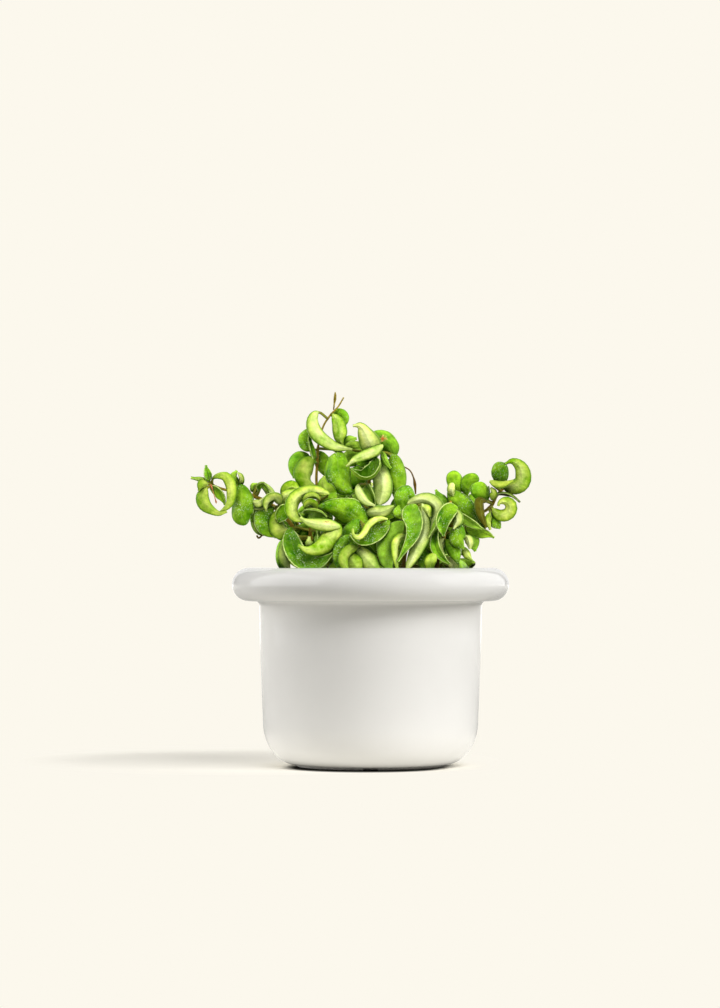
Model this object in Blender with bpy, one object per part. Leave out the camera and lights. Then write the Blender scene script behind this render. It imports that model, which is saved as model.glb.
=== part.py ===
"""Potted hindu rope plant: a glazed ceramic pot, its potting mix and fourteen leafy stems.

The origin is the middle of the pot's flat underside, +Z is up and the front is -Y.
Values are in metres, but the tables of stems and leaves are in millimetres.
"""

import math
import random
from collections import namedtuple

import bmesh
import bpy
from mathutils import Matrix, Vector
from mathutils.bvhtree import BVHTree

MM = 0.001
GAP = 0.0003

# Pot: a round body that tapers a little, a fat rolled rim and a low foot
POT_HEIGHT = 0.150
RIM_OUTER_RADIUS = 0.105
RIM_HEIGHT = 0.025
RIM_INNER_ROUNDING = 0.009
BODY_TOP_RADIUS = 0.0844
BODY_LOWER_RADIUS = 0.0815
LOWER_WALL = (0.0827, 0.062)
UPPER_WALL = (0.0841, 0.100)
CORNER_WIDTH = 0.0235
CORNER_HEIGHT = 0.032
FOOT_RADIUS = 0.056
FOOT_HEIGHT = 0.0018
FILLET_RADIUS = 0.0035
WALL = 0.0085
FLOOR = 0.009
INNER_CORNER = 0.024
NOTCH_WIDTH = 0.011
NOTCH_HEIGHT = 0.0014
NOTCH_DEPTH = 0.007
POT_SEGMENTS = 32

# Potting mix
SOIL_TOP = 0.133
STRAIGHT_TOP = 0.137
SOIL_SEGMENTS = 20
SOIL_RINGS = (0.85, 0.5)
SOIL_SHOULDER = 0.004
SOIL_LUMP = 0.0025
SOIL_SEED = 3
HOLE_BOTTOM = 0.105
HOLE_CLEARANCE = 0.0008
HOLE_SIDES = 6

# Leaves: thick waxy blades, folded and curled, each on a short stalk
LEAF_THICKNESS = 0.0019
TIP_THINNING = 0.4
STALK_RADIUS = 0.0010
STALK_HALF_DEPTH = 0.00087
STALK_MIDDLE = 0.6
STALK_CORNERS = 8
FIRST_RING = 0.08
BLADE_START = 0.16
BASE_FULLNESS = 2.2
BASE_ROUNDING = 0.6
TANGENT_REACH = 0.02
ANCHOR_SHARE = 0.19
BEND_WINDOW = 0.10
BEND_ROOM = 0.85
CREASE = 0.10
FLAT_CURL = 0.02
BOW = 3.0
MARGIN_WAVE = 0.10
WAVES = 1.6
WAVE_OFFSET = 1.7
LARGE_HALF_WIDTH = 6.5
SMALL_HALF_WIDTH = 3.3
MOST_SHORT_POINTS = 5
HIDDEN_BELLY = 0.45
HIDDEN_FULLNESS = 2.0
HIDDEN_SEED = 7
CLEARANCE = 0.00035
LOWEST_JOINT = SOIL_TOP + 0.008
END_SAMPLES = 4
STEM_SIDES = 5
WELD = 0.000002

# The leaves that show in front are given as they look from this far off, at the rim's level
VIEW_DISTANCE = 2.43

POT_WHITE = (0.80, 0.79, 0.76, 1.0)
SOIL_BROWN = (0.10, 0.065, 0.04, 1.0)
LEAF_GREEN = (0.16, 0.34, 0.05, 1.0)

# Stems, in millimetres: place in the potting mix, route above it, radius at the foot and tip
STEMS = {
    "crown_stem": ((-31, 2), [
        (-33, 2, 165), (-38, 1, 195), (-41, 0, 215), (-40.5, -1, 230), (-39.6, -2, 243),
        (-35.6, -3, 258), (-30, -3, 266.5), (-24.5, -3, 272.5), (-20.3, -3, 279.5)], 2.0, 0.55),
    "second_stem": ((6, 4), [(4, 2, 165), (1, -2, 190), (-1, -5, 210), (0, -6, 228), (3, -6, 243)], 2.1, 1.1),
    "left_trailing_stem": ((-48, -6), [
        (-50, -8, 160), (-58, -12, 180), (-70, -16, 194), (-83, -19, 202), (-96, -22, 207),
        (-110, -26, 209), (-123, -28, 214)], 2.1, 0.9),
    "right_trailing_stem": ((44, 0), [
        (48, -2, 160), (58, -10, 178), (70, -20, 189), (82, -27, 191), (90, -32, 196), (95, -34, 205),
        (101, -35, 211)], 2.1, 0.9),
    "left_front_stem": ((-40, -30), [
        (-43, -35, 155), (-45, -38, 175), (-42, -37, 192), (-38, -33, 204)], 2.0, 1.1),
    "centre_front_stem": ((-10, -40), [
        (-9, -45, 155), (-7, -48, 170), (-4, -47, 183)], 2.0, 1.1),
    "right_front_stem": ((24, -38), [
        (25, -43, 155), (28, -46, 172), (31, -44, 186), (33, -40, 197)], 2.0, 1.1),
    "right_side_stem": ((48, -28), [
        (50, -36, 154), (54, -42, 170), (57, -41, 186), (60, -35, 200)], 2.0, 1.1),
    "back_left_stem": ((-36, 36), [(-44, 44, 158), (-54, 49, 178), (-62, 48, 196)], 2.0, 1.1),
    "back_centre_stem": ((-4, 44), [(-6, 54, 160), (-8, 58, 182), (-10, 54, 204)], 2.0, 1.1),
    "back_right_stem": ((34, 36), [(44, 44, 158), (54, 48, 176), (64, 44, 192)], 2.0, 1.1),
    "middle_stem": ((-8, 20), [(-9, 22, 165), (-6, 22, 192), (0, 20, 214)], 2.0, 1.1),
    "middle_left_stem": ((-28, -14), [(-26, -16, 158), (-22, -18, 180)], 2.0, 1.2),
    "middle_right_stem": ((26, 8), [(30, 8, 160), (36, 6, 184), (38, 4, 198)], 2.0, 1.2),
}

# A leaf that shows: stem, depth at base and tip, route across and up (mm), half width (mm),
# turn at base and tip (0 shows the upper side to the front, 180 the underside), cup (the mean
# turn of each half in degrees), place of the widest part, fullness of the tip (1.2 drawn out, 3 round)
Leaf = namedtuple("Leaf", "stem depth route half turn cup belly fullness")
LEAVES = [
    ("crown_stem", (-4, -14), [(-39.5, 268.5), (-43, 265), (-43, 258.5), (-40, 252.5),
        (-34, 247), (-26.5, 242.5), (-13.5, 240)],
     6.0, (150, 180), 22, 0.45, 1.6),
    ("crown_stem", (-5, -9), [(-28.5, 266.5), (-25, 261), (-23.5, 253.5), (-23.5, 248), (-21, 243)],
     5.6, (180, 180), 25, 0.55, 2.0),
    ("crown_stem", (2, 6), [(-28.5, 265.5), (-25, 266.5), (-21.5, 264), (-20, 257.5)],
     4.8, (15, 25), -35, 0.45, 2.4),
    ("crown_stem", (-2, 4), [(-43.5, 240), (-47.5, 243), (-49.5, 248.5), (-48, 255.5)],
     5.2, (15, 20), -35, 0.5, 2.6),
    ("crown_stem", (-4, -3), [(-42, 230), (-45, 239), (-47, 248), (-44.5, 255)],
     3.0, (50, 60), 30, 0.45, 2.0),
    ("crown_stem", (2, 0), [(-46, 234), (-51.5, 234), (-56, 230.5), (-58, 225), (-58, 218)],
     6.5, (10, 20), -32, 0.4, 2.0),
    ("crown_stem", (-6, -12), [(-43.5, 234), (-47.5, 228), (-49, 221.5), (-47, 215), (-41, 211)],
     7.4, (165, 150), 38, 0.5, 2.4),
    ("crown_stem", (-12, -22), [(-25, 238.5), (-25, 230), (-24, 222), (-20.5, 213.5), (-14, 207.5)],
     9.8, (0, 0), -38, 0.38, 2.4),
    ("crown_stem", (-13, -18), [(-27, 199.5), (-32, 207), (-36, 214), (-35, 220)],
     6.2, (170, 170), 20, 0.45, 2.0),
    ("second_stem", (-12, -24), [(5, 235), (1, 242.5), (-3.5, 251), (-8, 258), (-13.5, 258)],
     8.0, (180, 180), 18, 0.36, 1.5),
    ("second_stem", (-14, -24), [(9, 243), (2.5, 238.5), (-6, 235), (-12.5, 232), (-18.5, 227)],
     4.2, (180, 175), 20, 0.4, 1.7),
    ("second_stem", (-4, 0), [(2, 252), (9, 247.5), (14.5, 241), (17.5, 233)],
     7.6, (15, 15), -28, 0.5, 2.6),
    ("second_stem", (-10, -15), [(-18.5, 241), (-13, 243), (-8, 242.5), (-5, 238.5)],
     3.6, (30, 20), -20, 0.45, 2.0),
    ("second_stem", (-4, -4), [(-20, 242), (-16.5, 246.5), (-10.5, 248.5)],
     3.6, (10, 10), -30, 0.5, 2.0),
    ("second_stem", (-12, -24), [(3.5, 234), (4, 225.5), (-1.5, 219), (-8.5, 219), (-15.5, 225.5)],
     5.2, (15, 10), 55, 0.5, 2.0),
    ("second_stem", (-9, -16), [(4, 235), (-2.5, 230), (-10.5, 229)],
     6.0, (0, 0), 30, 0.5, 2.2),
    ("second_stem", (-12, -24), [(3.5, 233), (7, 224.5), (9, 216.5), (9, 208.5), (6.5, 198)],
     7.5, (180, 180), 18, 0.62, 2.6),
    ("second_stem", (-8, -16), [(16, 236), (18.5, 225.5), (20, 215.5), (20.5, 206.5), (21, 196.5)],
     7.8, (0, 10), -38, 0.32, 1.8),
    ("second_stem", (-8, -14), [(8, 238), (11, 231), (15.5, 225.5)],
     2.8, (10, 10), -20, 0.5, 1.8),
    ("second_stem", (-22, -28), [(-9.5, 213), (-8, 206.5), (-4, 201), (3.5, 197)],
     3.7, (180, 170), 28, 0.5, 1.7),
    ("second_stem", (-16, -22), [(-2.5, 212.5), (0, 206.5), (3.5, 198)],
     3.7, (20, 20), 45, 0.45, 1.8),
    ("second_stem", (-22, -34), [(-4.5, 192), (3, 192.5), (10, 193), (18, 197)],
     4.7, (180, 180), 20, 0.5, 2.4),
    ("second_stem", (-24, -42), [(-4, 182), (-11.5, 189.5), (-21, 194), (-30.5, 196.5), (-41, 197)],
     10.8, (0, 0), -26, 0.4, 1.25),
    ("left_front_stem", (-40, -50), [(-31.5, 206), (-40, 208), (-49.5, 207), (-57, 202.5),
        (-59.5, 195), (-57, 189), (-51.5, 186)],
     5.5, (165, 180), 25, 0.55, 2.6),
    ("left_front_stem", (-46, -52), [(-42, 194.5), (-44.5, 198.5), (-48, 198.5), (-50, 195)],
     3.8, (150, 165), 30, 0.5, 2.4),
    ("left_front_stem", (-44, -48), [(-39, 202.5), (-44, 205), (-49, 203), (-51, 198.5)],
     2.6, (170, 170), 30, 0.5, 1.8),
    ("left_front_stem", (-46, -54), [(-48.5, 190), (-44.5, 192.5), (-39, 192), (-33, 188.5)],
     4.8, (10, 10), 50, 0.5, 2.0),
    ("left_front_stem", (-45, -48), [(-48, 188.5), (-51, 189.5), (-53.5, 191.5)],
     2.3, (10, 10), 30, 0.5, 1.8),
    ("left_front_stem", (-52, -60), [(-23.5, 181.5), (-32, 182.5), (-41.5, 183.5), (-49, 185.5),
        (-53.5, 188.5)],
     4.9, (180, 180), 25, 0.42, 1.8),
    ("left_front_stem", (-50, -62), [(-25, 183.5), (-28.5, 175.5), (-33.5, 169.5), (-40.5, 165),
        (-48, 164), (-55, 167.5)],
     7.4, (180, 180), 38, 0.32, 1.5),
    ("left_front_stem", (-50, -56), [(-40.5, 178), (-39.5, 170.5), (-41, 162.5)],
     2.4, (60, 60), 40, 0.5, 1.8),
    ("left_front_stem", (-48, -54), [(-43, 164.5), (-46.5, 168.5), (-46.5, 174)],
     3.2, (160, 160), 25, 0.5, 1.6),
    ("left_front_stem", (-44, -58), [(-60, 180.5), (-60, 170.5), (-56, 160), (-48.5, 153.5),
        (-38.5, 153), (-28, 161.5)],
     7.6, (0, 0), 38, 0.45, 2.0),
    ("left_front_stem", (-40, -36), [(-66, 171), (-68.5, 163.5), (-69, 156), (-65.5, 145.5)],
     4.0, (20, 20), -30, 0.45, 2.2),
    ("left_front_stem", (-42, -42), [(-62.5, 172.5), (-64.5, 165.5), (-64.5, 156.5),
        (-61.5, 145.5)],
     4.8, (160, 160), 28, 0.45, 2.0),
    ("left_trailing_stem", (-30, -40), [(-69, 194.5), (-71, 186.5), (-68, 179), (-61, 177.5),
        (-52, 181)],
     6.4, (170, 180), 35, 0.55, 2.0),
    ("left_trailing_stem", (-24, -30), [(-62, 194), (-67.5, 190.5), (-70, 184.5)],
     5.5, (10, 10), 40, 0.5, 2.0),
    ("left_trailing_stem", (-22, -30), [(-74, 195.5), (-79, 193), (-80.5, 186.5), (-77, 179),
        (-71.5, 173)],
     7.2, (0, 0), -32, 0.45, 2.0),
    ("left_trailing_stem", (-18, -22), [(-86.5, 189.5), (-86, 183.5), (-82.5, 178.5), (-77, 174.5)],
     4.6, (150, 150), 28, 0.45, 1.8),
    ("left_trailing_stem", (-24, -34), [(-99.5, 213), (-97.5, 205.5), (-97.5, 196.5), (-98, 190),
        (-95, 182.5)],
     8.6, (0, 0), -32, 0.5, 2.6),
    ("left_trailing_stem", (-30, -38), [(-120, 217.5), (-115.5, 220.5), (-110, 220),
        (-106.5, 214), (-106, 205.5), (-108, 198), (-114, 192.5)],
     4.1, (145, 180), 25, 0.45, 2.2),
    ("left_trailing_stem", (-34, -40), [(-124.5, 210.5), (-127.5, 205), (-126, 199),
        (-121, 194.5), (-114.5, 191.5), (-109, 193)],
     5.2, (180, 170), 22, 0.32, 1.6),
    ("left_trailing_stem", (-28, -30), [(-121.5, 211), (-116.5, 209), (-112.5, 204), (-110.5, 198)],
     4.0, (20, 20), 28, 0.45, 1.8),
    ("left_trailing_stem", (-29, -31), [(-122.5, 216), (-124, 221.5), (-125, 228)],
     3.2, (20, 20), 20, 0.4, 1.8),
    ("left_trailing_stem", (-29, -33), [(-124, 214.5), (-129.5, 217), (-136.5, 218.5)],
     2.6, (160, 160), 28, 0.3, 1.4),
    ("left_trailing_stem", (-29, -34), [(-124, 214), (-128, 213), (-130.5, 208.5)],
     3.8, (180, 180), 28, 0.42, 1.8),
    ("left_trailing_stem", (-20, -26), [(-85, 214), (-79, 211), (-75.5, 204.5), (-79, 198.5),
        (-83.5, 195.5), (-89.5, 195)],
     3.4, (170, 180), 28, 0.45, 1.8),
    ("left_trailing_stem", (-18, -22), [(-84.5, 209), (-84.5, 213), (-81.5, 214.5), (-76, 206.5)],
     2.9, (10, 10), 30, 0.5, 1.8),
    ("left_trailing_stem", (-16, -16), [(-86.5, 208), (-89, 211), (-86, 214)],
     3.0, (10, 10), -20, 0.5, 2.0),
    ("left_trailing_stem", (-24, -28), [(-90, 200.5), (-85, 199.5), (-80, 203.5)],
     3.1, (180, 180), 32, 0.5, 1.8),
    ("left_trailing_stem", (-21, -23), [(-101, 213.5), (-104, 219), (-101.5, 224)],
     3.0, (0, 0), -20, 0.5, 2.0),
    ("left_trailing_stem", (-21, -25), [(-99, 213), (-98.5, 218.5), (-100.5, 222.5)],
     2.9, (150, 150), 20, 0.5, 2.2),
    ("left_trailing_stem", (-16, -20), [(-55.5, 208), (-60, 212), (-64.5, 209), (-68, 203)],
     4.4, (170, 180), 28, 0.45, 1.8),
    ("left_trailing_stem", (-22, -26), [(-69, 198.5), (-72.5, 203), (-78, 200), (-79.5, 193)],
     5.0, (150, 150), 28, 0.45, 2.0),
    ("left_trailing_stem", (-24, -30), [(-69, 198), (-64.5, 205), (-57, 209.5)],
     3.6, (180, 180), 30, 0.5, 1.8),
    ("centre_front_stem", (-50, -62), [(14, 185.5), (7, 180.5), (-0.5, 174.5), (-8, 171.5),
        (-16, 175.5)],
     6.9, (0, 0), 36, 0.5, 1.7),
    ("centre_front_stem", (-60, -72), [(12.5, 187), (4.5, 187), (-1.5, 182.5), (-5, 176.5),
        (-9.5, 173), (-13, 175.5), (-13.5, 180)],
     2.7, (180, 180), 18, 0.5, 2.0),
    ("centre_front_stem", (-52, -58), [(-16.5, 174.5), (-22, 167.5), (-24, 158.5), (-21, 145.5)],
     4.8, (0, 0), -28, 0.5, 2.0),
    ("centre_front_stem", (-58, -64), [(-10, 166), (-16.5, 163), (-20, 156), (-16.5, 145.5)],
     4.4, (170, 170), 32, 0.5, 2.0),
    ("centre_front_stem", (-56, -60), [(-18, 161), (-13, 154.5), (-7, 145.5)],
     6.6, (180, 180), 24, 0.5, 2.0),
    ("centre_front_stem", (-54, -60), [(-9.5, 166), (-4, 158), (2, 152), (8.5, 146.5)],
     6.8, (180, 180), 26, 0.5, 1.8),
    ("centre_front_stem", (-44, -48), [(-17.5, 175), (-12, 166.5), (-3.5, 163), (4.5, 160.5)],
     6.0, (0, 0), 25, 0.5, 2.0),
    ("right_front_stem", (-48, -60), [(25.5, 184), (18.5, 178.5), (13.5, 171), (12.5, 160),
        (15, 146.5)],
     7.4, (0, 0), -32, 0.38, 2.4),
    ("right_front_stem", (-56, -66), [(29, 173.5), (23, 173.5), (19.5, 169), (19, 161.5),
        (20.5, 147)],
     3.4, (175, 180), 26, 0.42, 2.0),
    ("right_front_stem", (-50, -68), [(33.5, 198), (31, 191), (33.5, 182), (32, 173), (26, 163),
        (20.5, 154.5)],
     7.3, (0, 10), 30, 0.27, 1.2),
    ("right_front_stem", (-46, -62), [(39, 198.5), (41, 187.5), (40.5, 176.5), (35, 165),
        (26.5, 146.5)],
     5.3, (180, 180), 25, 0.6, 2.0),
    ("right_front_stem", (-44, -52), [(37, 196.5), (42, 194.5), (45, 188.5)],
     3.9, (165, 165), 36, 0.5, 2.0),
    ("right_front_stem", (-38, -54), [(28.5, 198.5), (35.5, 201.5), (43.5, 201.5), (49.5, 197),
        (50, 190.5), (47, 183), (43.5, 172.5)],
     6.0, (180, 180), 22, 0.55, 1.5),
    ("right_front_stem", (-32, -30), [(25, 194.5), (25, 202.5), (28.5, 207), (34, 203.5)],
     6.8, (10, 10), -32, 0.5, 2.0),
    ("right_front_stem", (-44, -50), [(39, 165.5), (40.5, 158.5), (40.5, 146.5)],
     5.4, (10, 10), -25, 0.5, 2.0),
    ("right_side_stem", (-50, -58), [(55, 194), (50, 184), (44, 173)],
     2.8, (60, 60), 20, 0.45, 1.6),
    ("right_side_stem", (-44, -54), [(65.5, 196), (58.5, 192.5), (54, 184.5), (55.5, 174)],
     6.0, (10, 10), 38, 0.5, 2.0),
    ("right_side_stem", (-48, -56), [(58.5, 193), (63, 191), (66, 187), (63, 179.5)],
     4.9, (180, 180), 22, 0.45, 2.0),
    ("right_side_stem", (-48, -54), [(51, 177.5), (49, 171.5), (50, 164), (54.5, 158), (60, 153)],
     3.6, (20, 20), 32, 0.5, 1.8),
    ("right_side_stem", (-48, -52), [(57.5, 171), (61.5, 165.5), (64.5, 160), (66.5, 153)],
     4.9, (0, 0), -28, 0.5, 1.8),
    ("right_side_stem", (-50, -54), [(55.5, 172), (53, 166), (57, 157.5)],
     4.0, (155, 155), 30, 0.5, 1.8),
    ("right_side_stem", (-54, -58), [(49.5, 160.5), (46, 155.5), (45, 146.5)],
     4.8, (180, 180), 28, 0.5, 2.0),
    ("right_side_stem", (-52, -56), [(59, 157.5), (62.5, 153.5), (66, 146.5)],
     4.4, (180, 180), 24, 0.5, 2.0),
    ("right_side_stem", (-52, -56), [(66.5, 183.5), (66.5, 177.5), (66, 171.5), (71, 164.5)],
     6.0, (0, 0), -28, 0.5, 1.8),
    ("right_side_stem", (-46, -50), [(72.5, 174), (75, 170), (75.5, 164.5)],
     3.5, (180, 180), 20, 0.5, 2.2),
    ("right_side_stem", (-44, -48), [(70, 165.5), (73.5, 160), (77, 155.5)],
     3.2, (160, 160), 20, 0.5, 1.8),
    ("right_trailing_stem", (-34, -40), [(59, 207.5), (66.5, 201), (74, 193.5), (81, 186),
        (87, 179)],
     7.8, (0, 0), -24, 0.4, 1.5),
    ("right_trailing_stem", (-38, -44), [(67.5, 190.5), (76, 185), (85.5, 179.5)],
     4.0, (30, 30), 28, 0.45, 1.6),
    ("right_trailing_stem", (-30, -34), [(59, 198), (53, 203.5), (49.5, 209.5)],
     4.3, (10, 10), -20, 0.4, 1.6),
    ("right_trailing_stem", (-24, -26), [(67, 205.5), (66, 211.5), (64, 217.5), (63, 224)],
     6.2, (10, 10), -26, 0.6, 3.2),
    ("right_trailing_stem", (-24, -26), [(73.5, 205.5), (72.5, 211.5), (75, 216), (82.5, 218)],
     5.0, (0, 0), -26, 0.6, 3.2),
    ("right_trailing_stem", (-34, -36), [(62.5, 205.5), (61.5, 210), (62.5, 214.5)],
     3.2, (180, 180), 20, 0.5, 3.2),
    ("right_trailing_stem", (-35, -40), [(100.5, 211), (108, 211), (114, 214.5), (115.5, 221),
        (113, 227.5), (107.5, 231), (102, 229)],
     6.6, (180, 180), 20, 0.42, 1.6),
    ("right_trailing_stem", (-36, -40), [(98.5, 212.5), (98.5, 218.5), (98, 225), (96.5, 230.5)],
     6.6, (0, 0), -26, 0.55, 3.2),
    ("right_trailing_stem", (-38, -42), [(91, 215.5), (98.5, 214), (108.5, 216.5)],
     3.2, (150, 150), 28, 0.5, 1.8),
    ("right_trailing_stem", (-33, -36), [(89, 201.5), (86.5, 206), (84, 210.5), (84, 215.5)],
     7.6, (15, 15), -28, 0.55, 3.2),
    ("right_trailing_stem", (-36, -38), [(92, 202.5), (93.5, 207), (91.5, 211)],
     3.0, (160, 160), 20, 0.5, 1.8),
    ("right_trailing_stem", (-38, -44), [(88, 200.5), (83.5, 201.5), (84, 191.5), (88, 180.5)],
     3.9, (20, 20), -28, 0.45, 1.8),
    ("right_trailing_stem", (-36, -38), [(94.5, 205.5), (101, 207), (107.5, 205), (113.5, 200)],
     3.0, (70, 70), 20, 0.45, 1.6),
    ("right_trailing_stem", (-38, -43), [(93, 195), (97.5, 190.5), (104, 191.5), (106, 197),
        (102.5, 200.5), (98, 199.5), (97, 197)],
     5.3, (180, 180), 20, 0.48, 2.0),
    ("right_front_stem", (-38, -36), [(22.5, 188), (21, 191.5), (21.5, 197.5)],
     3.6, (10, 10), -20, 0.5, 1.8),
    ("right_trailing_stem", (-34, -36), [(93, 192), (94.5, 186), (98.5, 180)],
     5.0, (0, 0), -20, 0.5, 2.2),
    ("right_trailing_stem", (-30, -36), [(73, 180.5), (81.5, 178), (89, 176), (94, 173)],
     4.6, (30, 30), 25, 0.45, 1.8),
    ("right_trailing_stem", (-36, -40), [(91, 192), (89.5, 185.5), (91, 179)],
     2.8, (160, 160), 20, 0.5, 1.8),
    ("right_trailing_stem", (-30, -34), [(72.5, 177), (77, 171.5), (79.5, 162.5)],
     5.2, (0, 0), -20, 0.5, 2.0),
    ("second_stem", (0, 4), [(-2, 236), (-10, 235.5), (-18, 232), (-24, 226)],
     6.8, (5, 5), -30, 0.5, 2.0),
    ("crown_stem", (3, 7), [(-40, 239), (-36.5, 230), (-31, 218)],
     6.4, (5, 5), -30, 0.5, 2.0),
    ("second_stem", (-2, 2), [(-1, 226), (-8, 222), (-15, 215), (-20, 207)],
     7.6, (5, 5), -30, 0.5, 2.0),
    ("middle_right_stem", (-2, -6), [(31, 200), (24, 198), (14, 192)],
     7.5, (5, 5), -30, 0.5, 2.0),
    ("right_front_stem", (-44, -48), [(28, 176), (23, 168), (20, 156)],
     6.4, (5, 5), -30, 0.5, 2.0),
    ("centre_front_stem", (-43, -44), [(-8, 186), (-14, 178), (-18, 166)],
     6.8, (5, 5), -30, 0.5, 2.0),
    ("left_front_stem", (-34, -36), [(-44, 184), (-51, 177), (-57, 168)],
     7.2, (5, 5), -30, 0.5, 2.0),
    ("left_front_stem", (-32, -28), [(-41, 194), (-33, 199), (-26, 207)],
     7.0, (5, 5), -30, 0.5, 2.0),
    ("left_front_stem", (-34, -36), [(-44, 172), (-37, 165), (-30, 154)],
     7.2, (5, 5), -30, 0.5, 2.0),
    ("right_side_stem", (-38, -36), [(56, 180), (62, 173), (66, 163)],
     6.6, (5, 5), -30, 0.5, 2.0),
    ("right_side_stem", (-38, -36), [(54, 172), (46, 168), (38, 158)],
     6.8, (5, 5), -30, 0.5, 2.0),
    ("right_trailing_stem", (-18, -16), [(73, 191), (77, 198), (76, 206)],
     5.6, (5, 5), -25, 0.5, 2.0),
    ("left_trailing_stem", (-20, -22), [(-84, 201), (-88, 194), (-90.5, 185)],
     4.4, (5, 5), -25, 0.5, 2.0),
]

# Twigs fused to a stem: stem, route in millimetres, radius at each point
TWIGS = [
    ("crown_stem", [(-28, -3, 270), (-27.5, -3, 274.5), (-27, -3, 278), (-26.8, -3, 281), (-26.8, -3, 283.6)],
     [0.55, 0.6, 1.15, 1.0, 0.35]),
    ("second_stem", [(1, -5, 226), (12, 1, 229), (22, 0, 228), (26, -2, 226.5), (30, -4, 223.8),
                     (32.6, -5, 218.5), (33.6, -6, 213.5), (34.2, -7, 206)],
     [0.8, 0.6, 0.5, 0.5, 0.5, 0.6, 1.25, 0.5]),
    ("left_trailing_stem", [(-79, -19, 200), (-79, -25, 184), (-80, -27, 177), (-84, -27, 172.5),
                            (-85.5, -27, 174.5)], [0.7, 0.7, 0.7, 0.7, 0.7]),
]

# Foliage that the front view hides: stem, first and last level (mm), levels, first and last
# compass angle in degrees (0 is +X, 90 is away from the front)
HIDDEN_FOLIAGE = [
    ("back_centre_stem", 150, 204, 5, -10, 350),
    ("back_left_stem", 150, 196, 5, -10, 350),
    ("back_right_stem", 150, 192, 5, -10, 350),
    ("middle_stem", 160, 214, 4, -10, 350),
    ("middle_left_stem", 148, 180, 4, -10, 350),
    ("middle_right_stem", 150, 198, 4, -10, 350),
    ("second_stem", 160, 240, 5, 0, 180),
    ("crown_stem", 158, 232, 5, 20, 200),
    ("left_trailing_stem", 150, 200, 4, 40, 220),
    ("right_trailing_stem", 150, 190, 4, -40, 150),
    ("left_front_stem", 150, 190, 4, 40, 150),
    ("right_side_stem", 150, 190, 4, 10, 140),
    ("centre_front_stem", 150, 168, 3, 35, 145),
    ("right_front_stem", 150, 190, 4, 35, 145),
]

# Ranges for one leaf of that foliage: millimetres, and degrees for the curl, cup and lean
LEAF_LENGTHS = (26, 38)
LEAF_HALF_WIDTHS = (7.5, 10.5)
STALK_LENGTHS = (4, 12)
LEAF_CURLS = (90, 200)
LEAF_CUPS = (20, 50)
LEAF_RISES = (0.1, 0.8)
LARGEST_LEAN = 70
LARGEST_SWING = 40
SHARE_ROLLED_DOWN = 0.62
ATTEMPTS = 40

# The hidden foliage keeps inside this outline, across and up in millimetres
FRONT_OUTLINE = [(-72, 150), (-72, 172), (-85, 180), (-92, 190), (-82, 198), (-69, 204), (-62, 211),
                 (-42, 211), (-35, 208), (-35, 231), (-19, 235), (-12, 230), (6, 238), (22, 232),
                 (24, 215), (30, 205), (42, 203), (53, 198), (60, 206), (75, 197), (85, 183),
                 (83, 171), (77, 158), (84, 150)]


def smooth_route(points, per_span=10):
    """Centripetal Catmull-Rom curve through the points; returns samples and each point's index."""
    points = [Vector(point) for point in points]
    ends = [points[0] * 2 - points[1]] + points + [points[-1] * 2 - points[-2]]
    samples = []
    marks = []
    for span in range(len(points) - 1):
        p0, p1, p2, p3 = ends[span:span + 4]
        t1 = (p1 - p0).length ** 0.5
        t2 = t1 + (p2 - p1).length ** 0.5
        t3 = t2 + (p3 - p2).length ** 0.5
        marks.append(len(samples))
        for step in range(per_span):
            t = t1 + (t2 - t1) * step / per_span
            a1 = p0.lerp(p1, t / t1)
            a2 = p1.lerp(p2, (t - t1) / (t2 - t1))
            a3 = p2.lerp(p3, (t - t2) / (t3 - t2))
            b1 = a1.lerp(a2, t / t2)
            b2 = a2.lerp(a3, (t - t1) / (t3 - t1))
            samples.append(b1.lerp(b2, (t - t1) / (t2 - t1)))
    marks.append(len(samples))
    samples.append(points[-1].copy())
    return samples, marks


def distances(samples):
    """Distance along the samples, from the first one."""
    run = [0.0]
    for before, after in zip(samples, samples[1:]):
        run.append(run[-1] + (after - before).length)
    return run


def point_at(samples, run, distance):
    """Point of a sampled route at a distance from its start."""
    distance = min(max(distance, 0.0), run[-1])
    index = 0
    while index < len(run) - 2 and run[index + 1] < distance:
        index += 1
    share = (distance - run[index]) / max(run[index + 1] - run[index], 1e-9)
    return samples[index].lerp(samples[index + 1], share)


def carried_normals(tangents, anchor, facing):
    """A normal for each tangent, turned along the route with no twist from the anchor's."""
    def square(direction, tangent):
        flat = direction - tangent * direction.dot(tangent)
        if flat.length < 0.1:
            flat = tangent.orthogonal()
        return flat.normalized()

    normals = [None] * len(tangents)
    normals[anchor] = square(facing, tangents[anchor])
    for index in range(anchor + 1, len(tangents)):
        normals[index] = square(normals[index - 1], tangents[index])
    for index in range(anchor - 1, -1, -1):
        normals[index] = square(normals[index + 1], tangents[index])
    return normals


def outward(vertices, triangles):
    """The triangles, turned round if they face into the solid."""
    volume = sum(vertices[a].dot(vertices[b].cross(vertices[c])) for a, b, c in triangles)
    if volume < 0:
        return [(a, c, b) for a, b, c in triangles]
    return triangles


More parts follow.
